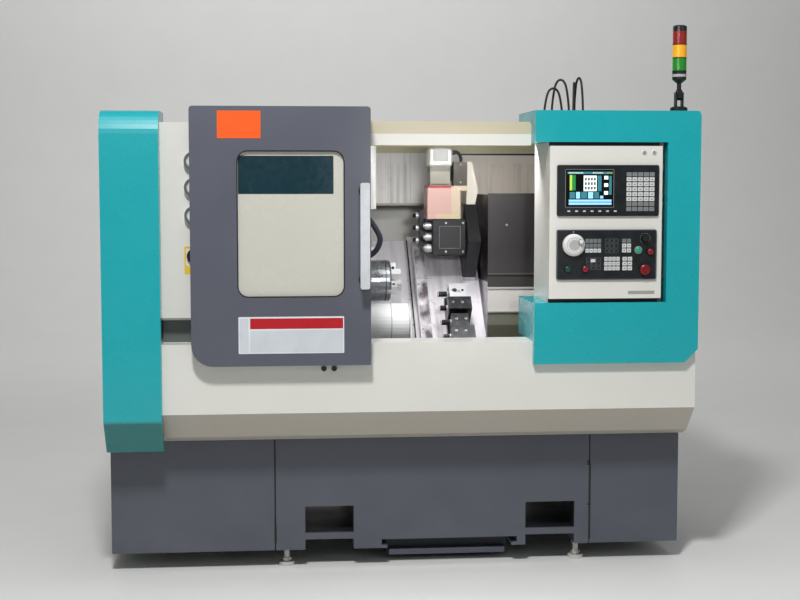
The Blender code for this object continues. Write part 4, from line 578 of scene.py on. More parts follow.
def rounded(x, z, radius, steps=6):
    """Corner-rounded rectangle as (x, z) points."""
    points = []
    corners = ((x[1] - radius, z[0] + radius, -90), (x[1] - radius, z[1] - radius, 0),
               (x[0] + radius, z[1] - radius, 90), (x[0] + radius, z[0] + radius, 180))
    for cx, cz, start in corners:
        for step in range(steps + 1):
            angle = radians(start + 90 * step / steps)
            points.append((cx + radius * cos(angle), cz + radius * sin(angle)))
    return points


def inset(span, margin):
    return span[0] + margin, span[1] - margin


def slope_point(s, n):
    """Slope coordinates, s up the slope and n out of it, to (y, z)."""
    return AXIS_Y + (s - n) * cos(SLOPE), AXIS_Z + (s + n) * sin(SLOPE)


def skin(part, rings):
    """Joins each ring of vertices to the next one with faces."""
    for first, second in zip(rings, rings[1:]):
        for index in range(len(first)):
            after = (index + 1) % len(first)
            part.faces.new((first[index], first[after], second[after], second[index]))


class Piece:
    """A detailed piece built from several shapes, each with its own finish. Its X values are stations."""

    def __init__(self, name):
        self.name = name
        self.shape = bmesh.new()
        self.finishes = []

    def take(self, part, finish):
        """Adds the faces of part, a bmesh of its own, to this piece."""
        if finish not in self.finishes:
            self.finishes.append(finish)
        bmesh.ops.recalc_face_normals(part, faces=part.faces)
        for face in part.faces:
            face.material_index = self.finishes.index(finish)
        mesh = bpy.data.meshes.new("part")
        part.to_mesh(mesh)
        part.free()
        self.shape.from_mesh(mesh)
        bpy.data.meshes.remove(mesh)

    def prism(self, outline, axis, span, finish, bevel=0.0):
        """Extrudes an outline over a span of an axis. The outline's pairs are the two other axes in order."""
        order = "XYZ".index(axis)
        part = bmesh.new()
        ends = [[part.verts.new((*pair[:order], level, *pair[order:])) for pair in outline] for level in span]
        for ring in ends:
            part.faces.new(ring)
        skin(part, ends)
        if bevel:
            rim = [edge for edge in part.edges if edge.calc_face_angle(0) > radians(40)]
            bmesh.ops.bevel(part, geom=rim, offset=bevel, segments=2, profile=0.5, affect="EDGES")
        self.take(part, finish)

    def box(self, x, y, z, finish, bevel=0.0):
        outline = [(x[0], z[0]), (x[1], z[0]), (x[1], z[1]), (x[0], z[1])]
        self.prism(outline, "Y", y, finish, bevel)

    def row(self, count, start, pitch, width, y, z, bevel, *finishes):
        """Equal boxes side by side from a station on, with the finishes in turn."""
        for number in range(count):
            left = start + pitch * number
            self.box((left, left + width), y, z, finishes[number % len(finishes)], bevel)

    def slab(self, x, s, n, finish, bevel):
        """A block in slope coordinates: s up the slope, n out of it."""
        corners = ((s[0], n[0]), (s[1], n[0]), (s[1], n[1]), (s[0], n[1]))
        self.prism([slope_point(*corner) for corner in corners], "X", x, finish, bevel)

    def plate(self, x, z, y, finish, radius):
        """A rounded plate that faces the front."""
        self.prism(rounded(x, z, radius), "Y", y, finish)

    def frame(self, x, z, y, width, radius, finish):
        """A rounded ring that faces the front, width wide inwards from its outline."""
        outer = rounded(x, z, radius)
        inner = rounded(inset(x, width), inset(z, width), max(radius - width, 0.001))
        part = bmesh.new()
        rings = [[part.verts.new((px, level, pz)) for px, pz in outline]
                 for outline, level in ((outer, y[0]), (outer, y[1]), (inner, y[1]), (inner, y[0]))]
        skin(part, [*rings, rings[0]])
        self.take(part, finish)

    def turned(self, profile, axis, at, finish, steps=24, ends=True):
        """Turns a profile of (distance along the axis, radius) pairs about an axis through at."""
        along = Vector(axis).normalized()
        side = along.orthogonal().normalized()
        up = along.cross(side)
        turns = [2 * pi * step / steps for step in range(steps)]
        spokes = [side * cos(turn) + up * sin(turn) for turn in turns]
        part = bmesh.new()
        rings = [[part.verts.new(Vector(at) + along * distance + spoke * radius) for spoke in spokes]
                 for distance, radius in profile]
        if ends:
            skin(part, rings)
            part.faces.new(rings[0])
            part.faces.new(rings[-1])
        else:
            skin(part, [*rings, rings[0]])
        self.take(part, finish)

    def ring(self, profile, axis, at, finish, steps=24):
        """Turns a closed loop of (distance along the axis, radius) pairs, so that the middle stays open."""
        self.turned(profile, axis, at, finish, steps, False)

    def washer(self, radii, height, axis, at, finish, steps):
        """A ring between two radii."""
        profile = [(level, radius) for level, radius in zip((0, 0, height, height), (*radii, *radii[::-1]))]
        self.ring(profile, axis, at, finish, steps)

    def screw(self, at, axis, radius, finish="zinc"):
        """Socket-head screw: a bevelled head with a dark six-sided socket."""
        head = [(0, radius), (radius * 0.55, radius), (radius * 0.75, radius * 0.82)]
        self.turned(head, axis, at, finish, 16)
        top = Vector(at) + Vector(axis).normalized() * radius * 0.75
        self.turned([(-radius * 0.2, radius * 0.48), (CLEAR, radius * 0.48)], axis, top, "dial_black", 6)

    def screws(self, xs, ys, zs, axis, radius, finish="zinc"):
        """A screw at each place of a grid."""
        for at in product(xs, ys, zs):
            self.screw(at, axis, radius, finish)

    def mark(self, centre, degrees, corners, y, finish):
        """A flat mark on a dial. Its corners are (outwards, across) pairs at an angle from the right."""
        run, rise = cos(radians(degrees)), sin(radians(degrees))
        outline = [(centre[0] + out * run - across * rise, centre[2] + out * rise + across * run)
                   for out, across in corners]
        self.prism(outline, "Y", y, finish)

    def place(self, body, slot):
        """Makes the object and fixes it to a body of the frame."""
        bmesh.ops.translate(self.shape, vec=(LEFT, 0, 0), verts=self.shape.verts)
        mesh = bpy.data.meshes.new(self.name)
        self.shape.to_mesh(mesh)
        self.shape.free()
        for finish in self.finishes:
            mesh.materials.append(FINISHES[finish].material)
        mesh.polygons.foreach_set("use_smooth", [True] * len(mesh.polygons))
        mesh.set_sharp_from_angle(angle=SHARP)
        return fix(add(self.name, mesh), body)


def fix(thing, body):
    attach(thing, body)
    return thing


def bar(near, far, half):
    """Corners of a dial's straight mark between two distances from its centre."""
    return (far, half), (near, half), (near, -half), (far, -half)


WINDOW_X = (0.487, 0.876)
WINDOW_Z = (1.067, 1.597)


def door_pieces():
    """Gasket, stickers and handle sleeves, which slide with the door."""
    gasket = Piece("window_gasket")
    depth = (DOOR_FRONT + 0.003, PANE_FRONT - CLEAR)
    gasket.frame(inset(WINDOW_X, CLEAR), inset(WINDOW_Z, CLEAR), depth, 0.004, 0.0398, "black_rubber")
    gasket.place("door", "black_rubber")

    film = PANE_FRONT - CLEAR
    banner = Piece("window_banner")
    banner.plate((0.4925, 0.836), (1.441, 1.578), (film - FILM, film), "banner_film", 0.004)
    banner.place("door", "panel_film")

    face = DOOR_FRONT - CLEAR
    label = Piece("door_plates")
    label.plate((0.49, 0.872), (0.864, 0.998), (face - 0.0012, face), "white_sticker", 0.003)
    label.plate((0.532, 0.868), (0.954, 0.992), (face - 0.0016, face - 0.0011), "red_sticker", 0.001)
    for x, top in (((0.532, 0.868), 0.948), ((0.494, 0.526), 0.992)):
        label.plate(x, (0.868, top), (face - 0.0015, face - 0.0011), "pale_sticker", 0.001)
    label.plate((0.42, 0.575), (1.64, 1.738), (face - FILM, face), "orange_sticker", 0.002)
    label.place("door", "white_paint")

    sleeves = Piece("handle_sleeves")
    low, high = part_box("door_handle")
    at = (low.x + high.x) / 2 - LEFT, low.y + 0.0112
    reach = DOOR_FRONT - at[1]
    for z in (low.z + 0.03, high.z - 0.03):
        sleeves.ring([(0, 0.0095), (0, 0.013), (0.004, 0.0165), (reach - 0.004, 0.0165),
                      (reach - CLEAR, 0.019), (reach - CLEAR, 0.0095)], BACK, (*at, z), "black_plastic", 20)
    sleeves.place("door", "black_plastic")


def gauges():
    """Bezels, dials and pointers of the three pressure gauges, and the plate of the main switch."""
    piece = Piece("gauge_dials")
    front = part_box("gauge_panel")[0].y - CLEAR
    for z, reading in ((1.56, 60), (1.465, 110), (1.363, 85)):
        at = (0.331, front, z)
        piece.turned([(0, 0.0338), (0.004, 0.0338), (0.006, 0.0325), (0.006, 0.025), (0.001, 0.0245)],
                     FRONT, at, "module_grey", 40)
        piece.turned([(0.0012, 0.0248), (0.0016, 0.0248)], FRONT, at, "dial_white", 40)
        for tick in range(21):
            length, half = (0.0045, 0.0006) if tick % 5 == 0 else (0.0026, 0.0003)
            piece.mark(at, 225 - 270 * tick / 20, bar(0.023 - length, 0.023, half),
                       (front - 0.0019, front - 0.0016), "dial_black")
        piece.mark(at, 225 - reading, ((-0.006, 0.0009), (0.019, 0.0), (-0.006, -0.0009)),
                   (front - 0.0026, front - 0.0021), "dial_red")
        piece.turned([(0.002, 0.0028), (0.0034, 0.0024)], FRONT, at, "dial_black", 12)
    piece.place("machine", "black_plastic")

    plate = Piece("switch_plate")
    plate_y = (GAUGE_FRONT - 0.001, GAUGE_FRONT - CLEAR)
    plate.plate((0.295, 0.367), (1.15, 1.172), plate_y, "yellow", 0.002)
    plate.frame((0.295, 0.367), (1.174, 1.25), plate_y, 0.006, 0.004, "yellow")
    plate.place("machine", "white_paint")


SCREEN_TILES = (            # x from, x to, z from, z to, finish
    (1.6965, 1.866, 1.513, 1.521, "screen_teal"), (1.7, 1.756, 1.5145, 1.5195, "screen_white"),
    (1.79, 1.83, 1.5145, 1.5195, "screen_white"), (1.842, 1.864, 1.5145, 1.5195, "screen_yellow"),
    (1.705, 1.714, 1.453, 1.509, "screen_yellow"), (1.715, 1.727, 1.453, 1.509, "screen_green"),
    (1.757, 1.806, 1.45, 1.507, "screen_white"), (1.81, 1.824, 1.45, 1.507, "screen_teal"),
    (1.834, 1.849, 1.493, 1.506, "screen_white"), (1.834, 1.849, 1.466, 1.479, "screen_white"),
    (1.834, 1.849, 1.437, 1.45, "screen_white"), (1.853, 1.862, 1.437, 1.506, "screen_teal"),
    (1.705, 1.725, 1.423, 1.447, "screen_teal"), (1.729, 1.744, 1.423, 1.447, "screen_blue"),
    (1.748, 1.77, 1.423, 1.447, "screen_teal"), (1.774, 1.793, 1.423, 1.447, "screen_blue"),
    (1.797, 1.815, 1.423, 1.447, "screen_teal"), (1.819, 1.831, 1.423, 1.433, "screen_blue"),
    (1.702, 1.862, 1.411, 1.419, "screen_blue"), (1.702, 1.862, 1.4, 1.4085, "screen_blue"),
)
KEY_BLOCKS = (              # x from, x to, z from, z to, columns, finish of each row from the top
    (1.916, 2.024, 1.375, 1.521, 5, ("key_grey",) + ("key_light",) * 5 + ("key_grey",) * 2),
    (1.764, 1.825, 1.222, 1.276, 4, ("mark_grey", "mark_grey", "key_light")),
    (1.838, 1.89, 1.22, 1.276, 3, ("key_dark",) * 3),
    (1.902, 1.938, 1.222, 1.276, 2, ("mark_grey", "key_light", "key_light")),
    (1.836, 1.896, 1.156, 1.209, 4, ("key_light",) * 3),
    (1.904, 1.943, 1.156, 1.209, 2, ("key_light",) * 3),
    (1.768, 1.825, 1.16, 1.206, 3, ("key_dark",) * 3),
)
BUTTON_RINGS = (            # x, z, radius, gap to the panel, finish
    (1.7, 1.163, 0.011, CLEAR, "black_plastic"), (1.765, 1.163, 0.011, CLEAR, "black_plastic"),
    (1.965, 1.232, 0.011, CLEAR, "zinc"), (2.01, 1.226, 0.011, CLEAR, "black_plastic"),
    (1.99, 1.275, 0.013, 0.0, "black_plastic"), (1.988, 1.16, 0.012, CLEAR, "black_plastic"),
)
GRIP_X = 0.0226             # the handwheel's grip, from its centre
GRIP_Z = 0.0144


def screen_picture():
    floor = UNIT_FRONT + 0.003 - CLEAR
    picture = Piece("screen_picture")
    picture.plate((1.6905, 1.8675), (1.3925, 1.5275), (floor - 0.0004, floor), "glass_black", 0.002)
    for x0, x1, z0, z1, finish in SCREEN_TILES:
        picture.plate((x0, x1), (z0, z1), (floor - 0.0008, floor - 0.0005), finish, 0.0008)
    for column, row in product(range(4), range(3)):
        x, z = 1.761 + 0.0112 * column, 1.456 + 0.0165 * row
        picture.plate((x, x + 0.0078), (z, z + 0.0105), (floor - 0.0011, floor - 0.0009), "mark_grey", 0.0006)
    picture.place("control_panel", "panel_film")


def panel_keys(face):
    """Membrane keys with a mark or a rim each, the soft keys under the screen, and two printed lines."""
    keys = Piece("panel_keys")
    cap, mark = (face - 0.001, face), (face - 0.0013, face - 0.0011)
    for x0, x1, z0, z1, columns, rows in KEY_BLOCKS:
        wide, high = (x1 - x0) / columns, (z1 - z0) / len(rows)
        for (row, finish), column in product(enumerate(rows), range(columns)):
            left, top = x0 + wide * column, z1 - high * row
            x, z = (left + wide * 0.07, left + wide * 0.93), (top - high * 0.91, top - high * 0.09)
            keys.plate(x, z, cap, finish, 0.0012)
            if finish == "key_dark":
                keys.frame(x, z, mark, 0.0007, 0.0012, "mark_grey")
            else:
                keys.plate(inset(x, wide * 0.28), (z[0] + high * 0.3, z[1] - high * 0.34), mark,
                           "mark_grey", 0.0005)
    keys.plate((1.786, 1.803), (1.188, 1.2), (face - 0.0016, face - 0.0014), "key_light", 0.001)
    for number in range(7):
        left = 1.6935 + 0.029 * number
        keys.plate((left, left + 0.0165), (1.3655, 1.3845), cap, "key_dark", 0.002)
        keys.plate((left + 0.003, left + 0.0135), (1.374, 1.379), (face - 0.0014, face - 0.0011),
                   "key_light", 0.001)
    keys.frame((1.6875, 1.8705), (1.3895, 1.5305), (face - 0.0008, face), 0.0022, 0.004, "mark_grey")
    keys.frame((1.66, 2.032), (1.125, 1.306), (face - 0.0004, face), 0.001, 0.004, "mark_grey")
    keys.place("control_panel", "panel_film")


def control_rings(face):
    """Collars of the round controls, and the scale of the override knob."""
    rings = Piece("control_rings")
    for x, z, radius, low, finish in BUTTON_RINGS:
        rings.ring([(low, radius + 0.0008), (0.0035, radius + 0.0008), (0.0035, radius + 0.0022),
                    (0.0015, radius + 0.0036), (low, radius + 0.0036)], FRONT, (x, face, z), finish, 28)
    for number in range(11):
        angle = radians(225 - 27 * number)
        x, z = 1.99 + 0.0192 * cos(angle), 1.275 + 0.0192 * sin(angle)
        half = 0.0008
        rings.plate((x - half, x + half), (z - half, z + half), (face - 0.0006, face), "key_light", 0.0003)
    rings.place("control_panel", "black_plastic")


def handwheel_pieces(face):
    dial = Piece("handwheel_dial")
    centre = (1.72, UNIT_FRONT - 0.022 - CLEAR, 1.252)
    dial.turned([(0, 0.0318), (0.0006, 0.0314), (0.0006, 0.029)], FRONT, centre, "dial_white", 48)
    dial.turned([(0.0007, 0.02), (0.0011, 0.0196)], FRONT, centre, "dial_grey", 40)
    for tick in range(50):
        angle = radians(7.2 * tick)
        if hypot(0.026 * cos(angle) - GRIP_X, 0.026 * sin(angle) - GRIP_Z) >= 0.0125:
            near = 0.025 if tick % 5 else 0.0225
            dial.mark(centre, 7.2 * tick, bar(near, 0.0285, 0.0004), (centre[1] - 0.001, centre[1] - 0.0007),
                      "mark_grey")
    grip = (centre[0] + GRIP_X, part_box("handwheel")[0].y + 0.0005, centre[2] + GRIP_Z)
    dial.ring([(0, 0.0082), (-0.013, 0.0082), (-0.013, 0.009), (-0.001, 0.0096), (0, 0.009)],
              FRONT, grip, "key_grey", 20)
    dial.place("handwheel", "bright_cover")

    scale = Piece("handwheel_scale")
    scale.ring([(0, 0.0418), (0.0012, 0.0418), (0.0012, 0.0462), (0, 0.0465)], FRONT, (1.72, face, 1.252),
               "black_plastic", 48)
    scale.prism([(1.7175, 1.301), (1.7225, 1.301), (1.72, 1.296)], "Y", (face - 0.0012, face), "key_light")
    scale.place("control_panel", "black_plastic")


def panel_fittings():
    """Locks and blank plate on the front of the swinging panel, and the units' housings behind it."""
    locks = Piece("panel_locks")
    face = CONSOLE_FRONT - 0.003 - CLEAR
    for x in (1.985, 2.022):
        locks.turned([(0, 0.0074), (0.0008, 0.007)], FRONT, (x, face, 1.592), "zinc")
        locks.box((x - 0.001, x + 0.001), (face - 0.0011, face - 0.0007), (1.5875, 1.5965), "dial_black")
    face = CONSOLE_FRONT - CLEAR
    locks.plate((1.93, 2.03), (1.069, 1.08), (face - 0.001, face), "plate_grey", 0.002)
    locks.place("control_panel", "bright_cover")

    backs = Piece("unit_backs")
    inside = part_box("panel_door")[1].y + CLEAR
    outside = inside + 0.0462
    backs.box((1.69, 1.868), (inside, inside + 0.046), (1.376, 1.528), "module_grey", 0.002)
    backs.box((1.905, 2.02), (inside, inside + 0.022), (1.376, 1.528), "black_plastic", 0.002)
    backs.box((1.69, 2.005), (inside, inside + 0.026), (1.138, 1.294), "black_plastic", 0.002)
    for number in range(8):
        z = 1.392 + 0.017 * number
        backs.box((1.7, 1.78), (outside, outside + 0.001), (z, z + 0.005), "dial_black")
    backs.row(4, 1.795, 0.017, 0.012, (outside, inside + 0.054), (1.384, 1.408), 0.001, "dial_black")
    backs.turned([(0, 0.01), (0.014, 0.01), (0.02, 0.007)], BACK, (1.72, inside + 0.0262, 1.252), "zinc", 18)
    backs.place("control_panel", "black_plastic")


def smooth_path(knots, steps):
    """Points of a smooth curve through the knots, as the cables of the frame run."""
    ends = [2 * Vector(knots[0]) - Vector(knots[1])], [2 * Vector(knots[-1]) - Vector(knots[-2])]
    line = ends[0] + [Vector(knot) for knot in knots] + ends[1]
    path = []
    for a, b, c, d in zip(line, line[1:], line[2:], line[3:]):
        for step in range(steps):
            t = step / steps
            path.append(0.5 * (2 * b + (c - a) * t + (2 * a - 5 * b + 4 * c - d) * t * t
                               + (3 * b - a - 3 * c + d) * t * t * t))
    return path + [line[-2]]


def smooth_tube(name, knots, radius, body, finish):
    """A round cable along one smooth open line through the knots. Returns it, its length and its start."""
    line = smooth_path([(X(x), y, z) for x, y, z in knots], 6)
    curve = bpy.data.curves.new(name, "CURVE")
    curve.dimensions = "3D"
    curve.bevel_depth = radius
    curve.bevel_resolution = 4
    curve.use_fill_caps = True
    spline = curve.splines.new("POLY")
    spline.points.add(len(line) - 1)
    for place, point in zip(spline.points, line):
        place.co = (*point, 1.0)
    curve.materials.append(FINISHES[finish].material)
    length = sum((b - a).length for a, b in zip(line, line[1:]))
    return fix(add(name, curve), body), length, line[0]


CABLE_FOOT = 1.7073
CABLE_ARCHES = (((1.828, 0.47), (1.903, 0.48), 0.185), ((1.872, 0.52), (1.938, 0.5), 0.225),
                ((1.95, 0.445), (1.972, 0.525), 0.21), ((1.992, 0.45), (1.974, 0.53), 0.232))
CABLE_BOW = ((-0.04, 0.45), (0.16, 0.88), (0.5, 1.0), (0.84, 0.88), (1.04, 0.45))
CABLE_STRAIGHT = 0.02
CABLE_RADIUS = 0.005
HOSE_TOP = (0.985, -0.2, 1.3797)
HOSE_DROPS = ((0.0, 0.0, 0.0), (0.0, 0.0, -0.012), (0.0, 0.0, -0.024), (0.035, -0.015, -0.075),
              (0.055, -0.02, -0.12), (0.04, -0.015, -0.165), (0.005, 0.005, -0.195))
HOSE_RADIUS = 0.011
HOSE_AIM = (1.0, AXIS_Y - 0.03, AXIS_Z + 0.06)


def roof_cables():
    """Cable arches over the roof with their glands."""
    plate = Piece("cable_gland_plate")
    top = 1.7123
    plate.box((1.815, 2.005), (0.43, 0.545), (1.7003, top), "black_plastic", 0.0015)
    plate.screws((1.821, 1.999), (0.436, 0.539), (top + CLEAR,), UP, 0.0034)
    for number, (start, end, rise) in enumerate(CABLE_ARCHES):
        straight = CABLE_STRAIGHT / rise
        shares = ((0.0, 0.0), (0.0, straight), *CABLE_BOW, (1.0, straight), (1.0, 0.0))
        run = end[0] - start[0], end[1] - start[1]
        knots = [(start[0] + run[0] * across, start[1] + run[1] * across, CABLE_FOOT + rise * up)
                 for across, up in shares]
        arch, length, foot = smooth_tube("roof_cable_%d" % (number + 1), knots, CABLE_RADIUS, "machine",
                                         "black_rubber")
        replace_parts(arch, "cable_loops")
        for place in (start, end):
            plate.ring([(CLEAR, 0.0054), (CLEAR, 0.0086), (0.006, 0.0086), (0.0068, 0.0078), (0.0105, 0.0078),
                        (0.0125, 0.0054)], UP, (*place, top), "black_plastic", 6 if number % 2 else 12)
    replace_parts(plate.place("machine", "black_rubber"), "cable_loops")


def coolant():
    """The coolant hose with its collar and nozzle."""
    knots = [[top + drop for top, drop in zip(HOSE_TOP, drops)] for drops in HOSE_DROPS]
    hose, length, start = smooth_tube("coolant_line", knots, HOSE_RADIUS, "machine", "hose_rubber")
    nozzle = Piece("coolant_nozzle")
    nozzle.turned([(-0.004, 0.0128), (0.006, 0.0128), (0.006, 0.0138), (0.012, 0.0138), (0.012, 0.012),
                   (0.02, 0.0095), (0.034, 0.006), (0.034, 0.004), (0.028, 0.0036)],
                  Vector(HOSE_AIM) - Vector(knots[-1]), knots[-1], "bright_clamp")
    nozzle_piece = nozzle.place("machine", "steel")
    collar = Piece("hose_collar")
    collar.ring([(0.0, 0.0113), (0.0, 0.0165), (0.01, 0.0165), (0.012, 0.015), (0.018, 0.015),
                 (0.018, 0.0113)], DOWN, HOSE_TOP, "black_plastic")
    collar.place("machine", "black_plastic")
    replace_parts(hose, "coolant_hose")


HOLDER_PITCH = 0.07425
INSERT_TIP = 1.29


def gang_pieces():
    """Clamp, screws and cutting inserts of the gang holders, and wipers of the cross slide's cover."""
    clamp = Piece("gang_clamps")
    clamp.slab((1.3315, 1.401), (-0.079, -0.011), (-0.0198, -0.011), "bright_clamp", 0.0015)
    for x, radius in ((1.353, 0.01), (1.385, 0.006)):
        clamp.turned([(0, radius), (0.0004, radius)], OFF_SLOPE, (x, *slope_point(-0.045, -0.0108)),
                     "dial_black", 20)
    for number in range(4):
        middle = -0.295 + HOLDER_PITCH * number + 0.0311
        odd = number % 2
        left = 1.322 + 0.008 * odd
        if number < 3:
            for x in (left + 0.018, left + 0.056):
                top = slope_point(middle, -0.004 - 0.016 * odd + CLEAR)
                clamp.screw((x, *top), OFF_SLOPE, 0.0052, "bright_clamp")
        shank = slope_point(middle, -0.04)
        clamp.turned([(0, 0.0108), (0.003, 0.0108), (0.003, 0.004)], LEFTWARD, (INSERT_TIP - CLEAR, *shank),
                     "bright_clamp", 20)
        clamp.turned([(0, 0.0128), (0.006, 0.0128), (0.006, 0.0114), (0, 0.0114)], LEFTWARD,
                     (left - CLEAR, *shank), "zinc", 6)
        y, z = slope_point(middle - 0.004, -0.0285)
        clamp.prism([(y - 0.0055, z - 0.0035), (y + 0.002, z - 0.0035), (y + 0.0045, z + 0.004),
                     (y - 0.003, z + 0.004)], "X", (INSERT_TIP - 0.0062, INSERT_TIP - 0.0033),
                    "gold_insert", 0.0006)
    clamp.place("cross_slide", "steel")

    wiper = Piece("slide_wipers")
    wiper.slab((1.2155, 1.32), (-0.2995, -0.29), (-0.1298, -0.1268), "black_rubber", 0.0005)
    wiper.slab((1.2155, 1.2185), (-0.288, 0.319), (-0.1298, -0.124), "bright_clamp", 0.0005)
    for s in (-0.27, -0.15, -0.03, 0.09, 0.21):
        wiper.screw((1.227, *slope_point(s, -0.1298)), OFF_SLOPE, 0.004)
    wiper.place("cross_slide", "bright_cover")


def live_pieces():
    """Cover screws, plates, motor plug and conduit of the live tool unit, and its collet nuts."""
    piece = Piece("live_fittings")
    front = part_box("live_tool_unit")[0].y - CLEAR
    motor = (front + 0.0085, front + 0.0097)
    piece.screws((1.262, 1.386), (front + 0.01,), (1.345, 1.452), FRONT, 0.004)
    piece.plate((1.27, 1.345), (1.4705, 1.4745), (front + 0.019, front + 0.0198), "dial_black", 0.001)
    piece.screws((1.331, 1.402), (front,), (1.196, 1.314), FRONT, 0.0042, "bright_clamp")
    piece.plate((1.3, 1.394), (1.206, 1.304), (front - 0.0012, front), "black_plastic", 0.004)
    piece.frame((1.303, 1.391), (1.209, 1.301), (front - 0.0018, front - 0.0013), 0.0016, 0.003, "mark_grey")
    piece.box((1.267, 1.353), motor, (1.553, 1.556), "dial_grey")
    piece.plate((1.278, 1.342), (1.564, 1.612), motor, "dial_grey", 0.003)
    piece.turned([(0, 0.012), (0.004, 0.012), (0.004, 0.0095), (0.012, 0.0095)], RIGHTWARD,
                 (1.359 + CLEAR, 0.06, 1.602), "black_plastic", 18)
    piece.screws((1.392,), (front + 0.01,), (1.48, 1.552), FRONT, 0.0034)
    for z in (1.238, 1.29, 1.341):
        piece.turned([(0, 0.0126), (0.006, 0.0126), (0.006, 0.0135), (0.012, 0.0135), (0.012, 0.0126)],
                     LEFTWARD, (1.234 - CLEAR, 0.17, z), "bright_clamp", 18)
    piece.place("live_unit", "black_steel")

    bend = ((1.368, 1.602), (1.379, 1.6035), (1.3905, 1.596), (1.3975, 1.58), (1.398, 1.565))
    smooth_tube("motor_conduit", [(x, 0.06, z) for x, z in bend], 0.007, "live_unit", "black_rubber")
    for number in range(1, 4):
        y, z = 0.065, 1.163 + 0.046 * number
        nut = Piece("collet_nut_%d" % number)
        nut.ring([(0, 0.0066), (0, 0.0118), (0.0012, 0.0122), (0.0012, 0.0066)], LEFTWARD, (1.2475, y, z),
                 "dial_black")
        nut.turned([(0, 0.004), (0.0008, 0.0036)], LEFTWARD, (1.2412 - CLEAR, y, z), "dial_black", 16)
        nut.place("live_spindle_%d" % number, "steel")


def round_axis(x, radius, degrees):
    """A place on a circle round the spindle's axis."""
    return x, AXIS_Y + radius * cos(radians(degrees)), AXIS_Z + radius * sin(radians(degrees))


def chuck_pieces():
    """Bolts and rims of the chuck, and the screws of its jaws."""
    rim = Piece("chuck_fittings")
    for degrees in (150, 270, 390):
        rim.screw(round_axis(1.092 + CLEAR, 0.056, degrees), RIGHTWARD, 0.0062)
    for x in (0.977, 1.069):
        rim.washer((0.0826, 0.0832), 0.003, RIGHTWARD, (x, AXIS_Y, AXIS_Z), "black_steel", 48)
    rim.place("spindle", "black_steel")
    for number in range(1, 4):
        degrees = 120 * number - 30
        jaw = Piece("jaw_screws_%d" % number)
        for x, radius in ((1.1155, 0.062), (1.1345, 0.037)):
            at = round_axis(x + CLEAR, radius, degrees)
            jaw.turned([(0, 0.0058), (0.0005, 0.0056)], RIGHTWARD, at, "dial_black", 16)
        side = Vector((0, sin(radians(degrees)), -cos(radians(degrees))))
        for way in (-side, side):
            at = Vector(round_axis(1.103, 0.052, degrees)) + way * (0.017 + CLEAR)
            jaw.turned([(0, 0.0062), (0.0004, 0.006)], way, at, "dial_black", 16)
        jaw.place("jaw_%d" % number, "steel")


def inside_pieces():
    """Seams, wipers and clips of the covers in the work area, and a black strip of painted shadow on the rear
    wall.
    """
    wiper = Piece("cover_wipers")
    wiper.slab((1.1995, 1.204), (-0.348, 0.398), (-0.1998, -0.194), "black_rubber", 0.0006)
    wiper.slab((1.19, 1.199), (-0.348, 0.398), (-0.1998, -0.1975), "bright_clamp", 0.0004)
    wiper.place("saddle", "black_rubber")

    seams_and_shadow = Piece("work_area_seams")
    wall = REAR_WALL - CLEAR
    for x in (1.13, 1.19, 1.215):
        seams_and_shadow.box((x, x + 0.0016), (wall - 0.0006, wall), (1.382, 1.616), "dial_grey")
    seams_and_shadow.box((1.02, 2.17), (wall - 0.005, wall), (1.3805, 1.39), "plate_grey", 0.001)
    # Painted shadow: black strip along the rear wall, under the warm band at its top, on the right.
    seams_and_shadow.box((1.43, 2.17), (wall - 0.008, wall), (1.595, 1.603), "dial_black", 0.001)
    for x in (1.082, 1.153):
        seams_and_shadow.washer((0.0752, 0.0762), 0.0035, RIGHTWARD, (x, -0.173, 0.926), "dial_grey", 48)
    seams_and_shadow.place("machine", "bright_cover")

    trim = Piece("right_cover_trim")
    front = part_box("way_cover_right")[0].y - CLEAR
    x = (1.4925, 1.899)
    trim.box(x, (front - 0.004, front), (1.102, 1.106), "black_steel", 0.001)
    trim.box(x, (front - 0.002, front + 0.0026), (1.048, 1.0545), "dial_grey", 0.001)
    trim.box(x, (front - 0.005, front + 0.0026), (0.952, 0.957), "plate_grey", 0.001)
    trim.screws((1.568, 1.87), (front,), (1.308,), FRONT, 0.0045)
    trim.place("saddle", "dark_cover")


BASE_GAPS = (               # x from, x to, z from, z to
    (0.6165, 0.6255, 0.098, 0.168), (1.843, 1.851, 0.088, 0.218), (1.843, 1.851, 0.228, 0.376),
    (1.837, 1.845, 0.386, 0.4), (1.837, 1.853, 0.222, 0.228), (1.837, 1.853, 0.38, 0.386),
)


def base_pieces():
    """Gaps between the base's covers, and the nuts of its levelling feet."""
    front = BASE_FRONT - CLEAR
    trim = Piece("base_trim")
    for x0, x1, z0, z1 in BASE_GAPS:
        trim.box((x0, x1), (front - 0.0006, front), (z0, z1), "dial_black", 0.0003)
    for x, y in product((0.665, 1.805), (-0.34, 0.49)):
        trim.washer((0.0113, 0.0175), 0.012, UP, (x, y, 0.0165), "zinc", 6)
        trim.washer((0.0113, 0.0175), 0.01, DOWN, (x, y, 0.069), "zinc", 6)
    trim.place("machine", "base_paint")


def tower_rings():
    """Dark rings between the lamps of the signal tower, and a pale one under them."""
    piece = Piece("tower_rings")
    x, y = 2.126, -0.586
    for z in (1.8935, 1.9423, 1.9913):
        piece.washer((0.0244, 0.0266), 0.0028, UP, (x, y, z - 0.0014), "black_plastic", 36)
    piece.washer((0.0262, 0.0266), 0.01, UP, (x, y, 1.872), "dial_grey", 36)
    piece.place("signal_tower", "black_plastic")


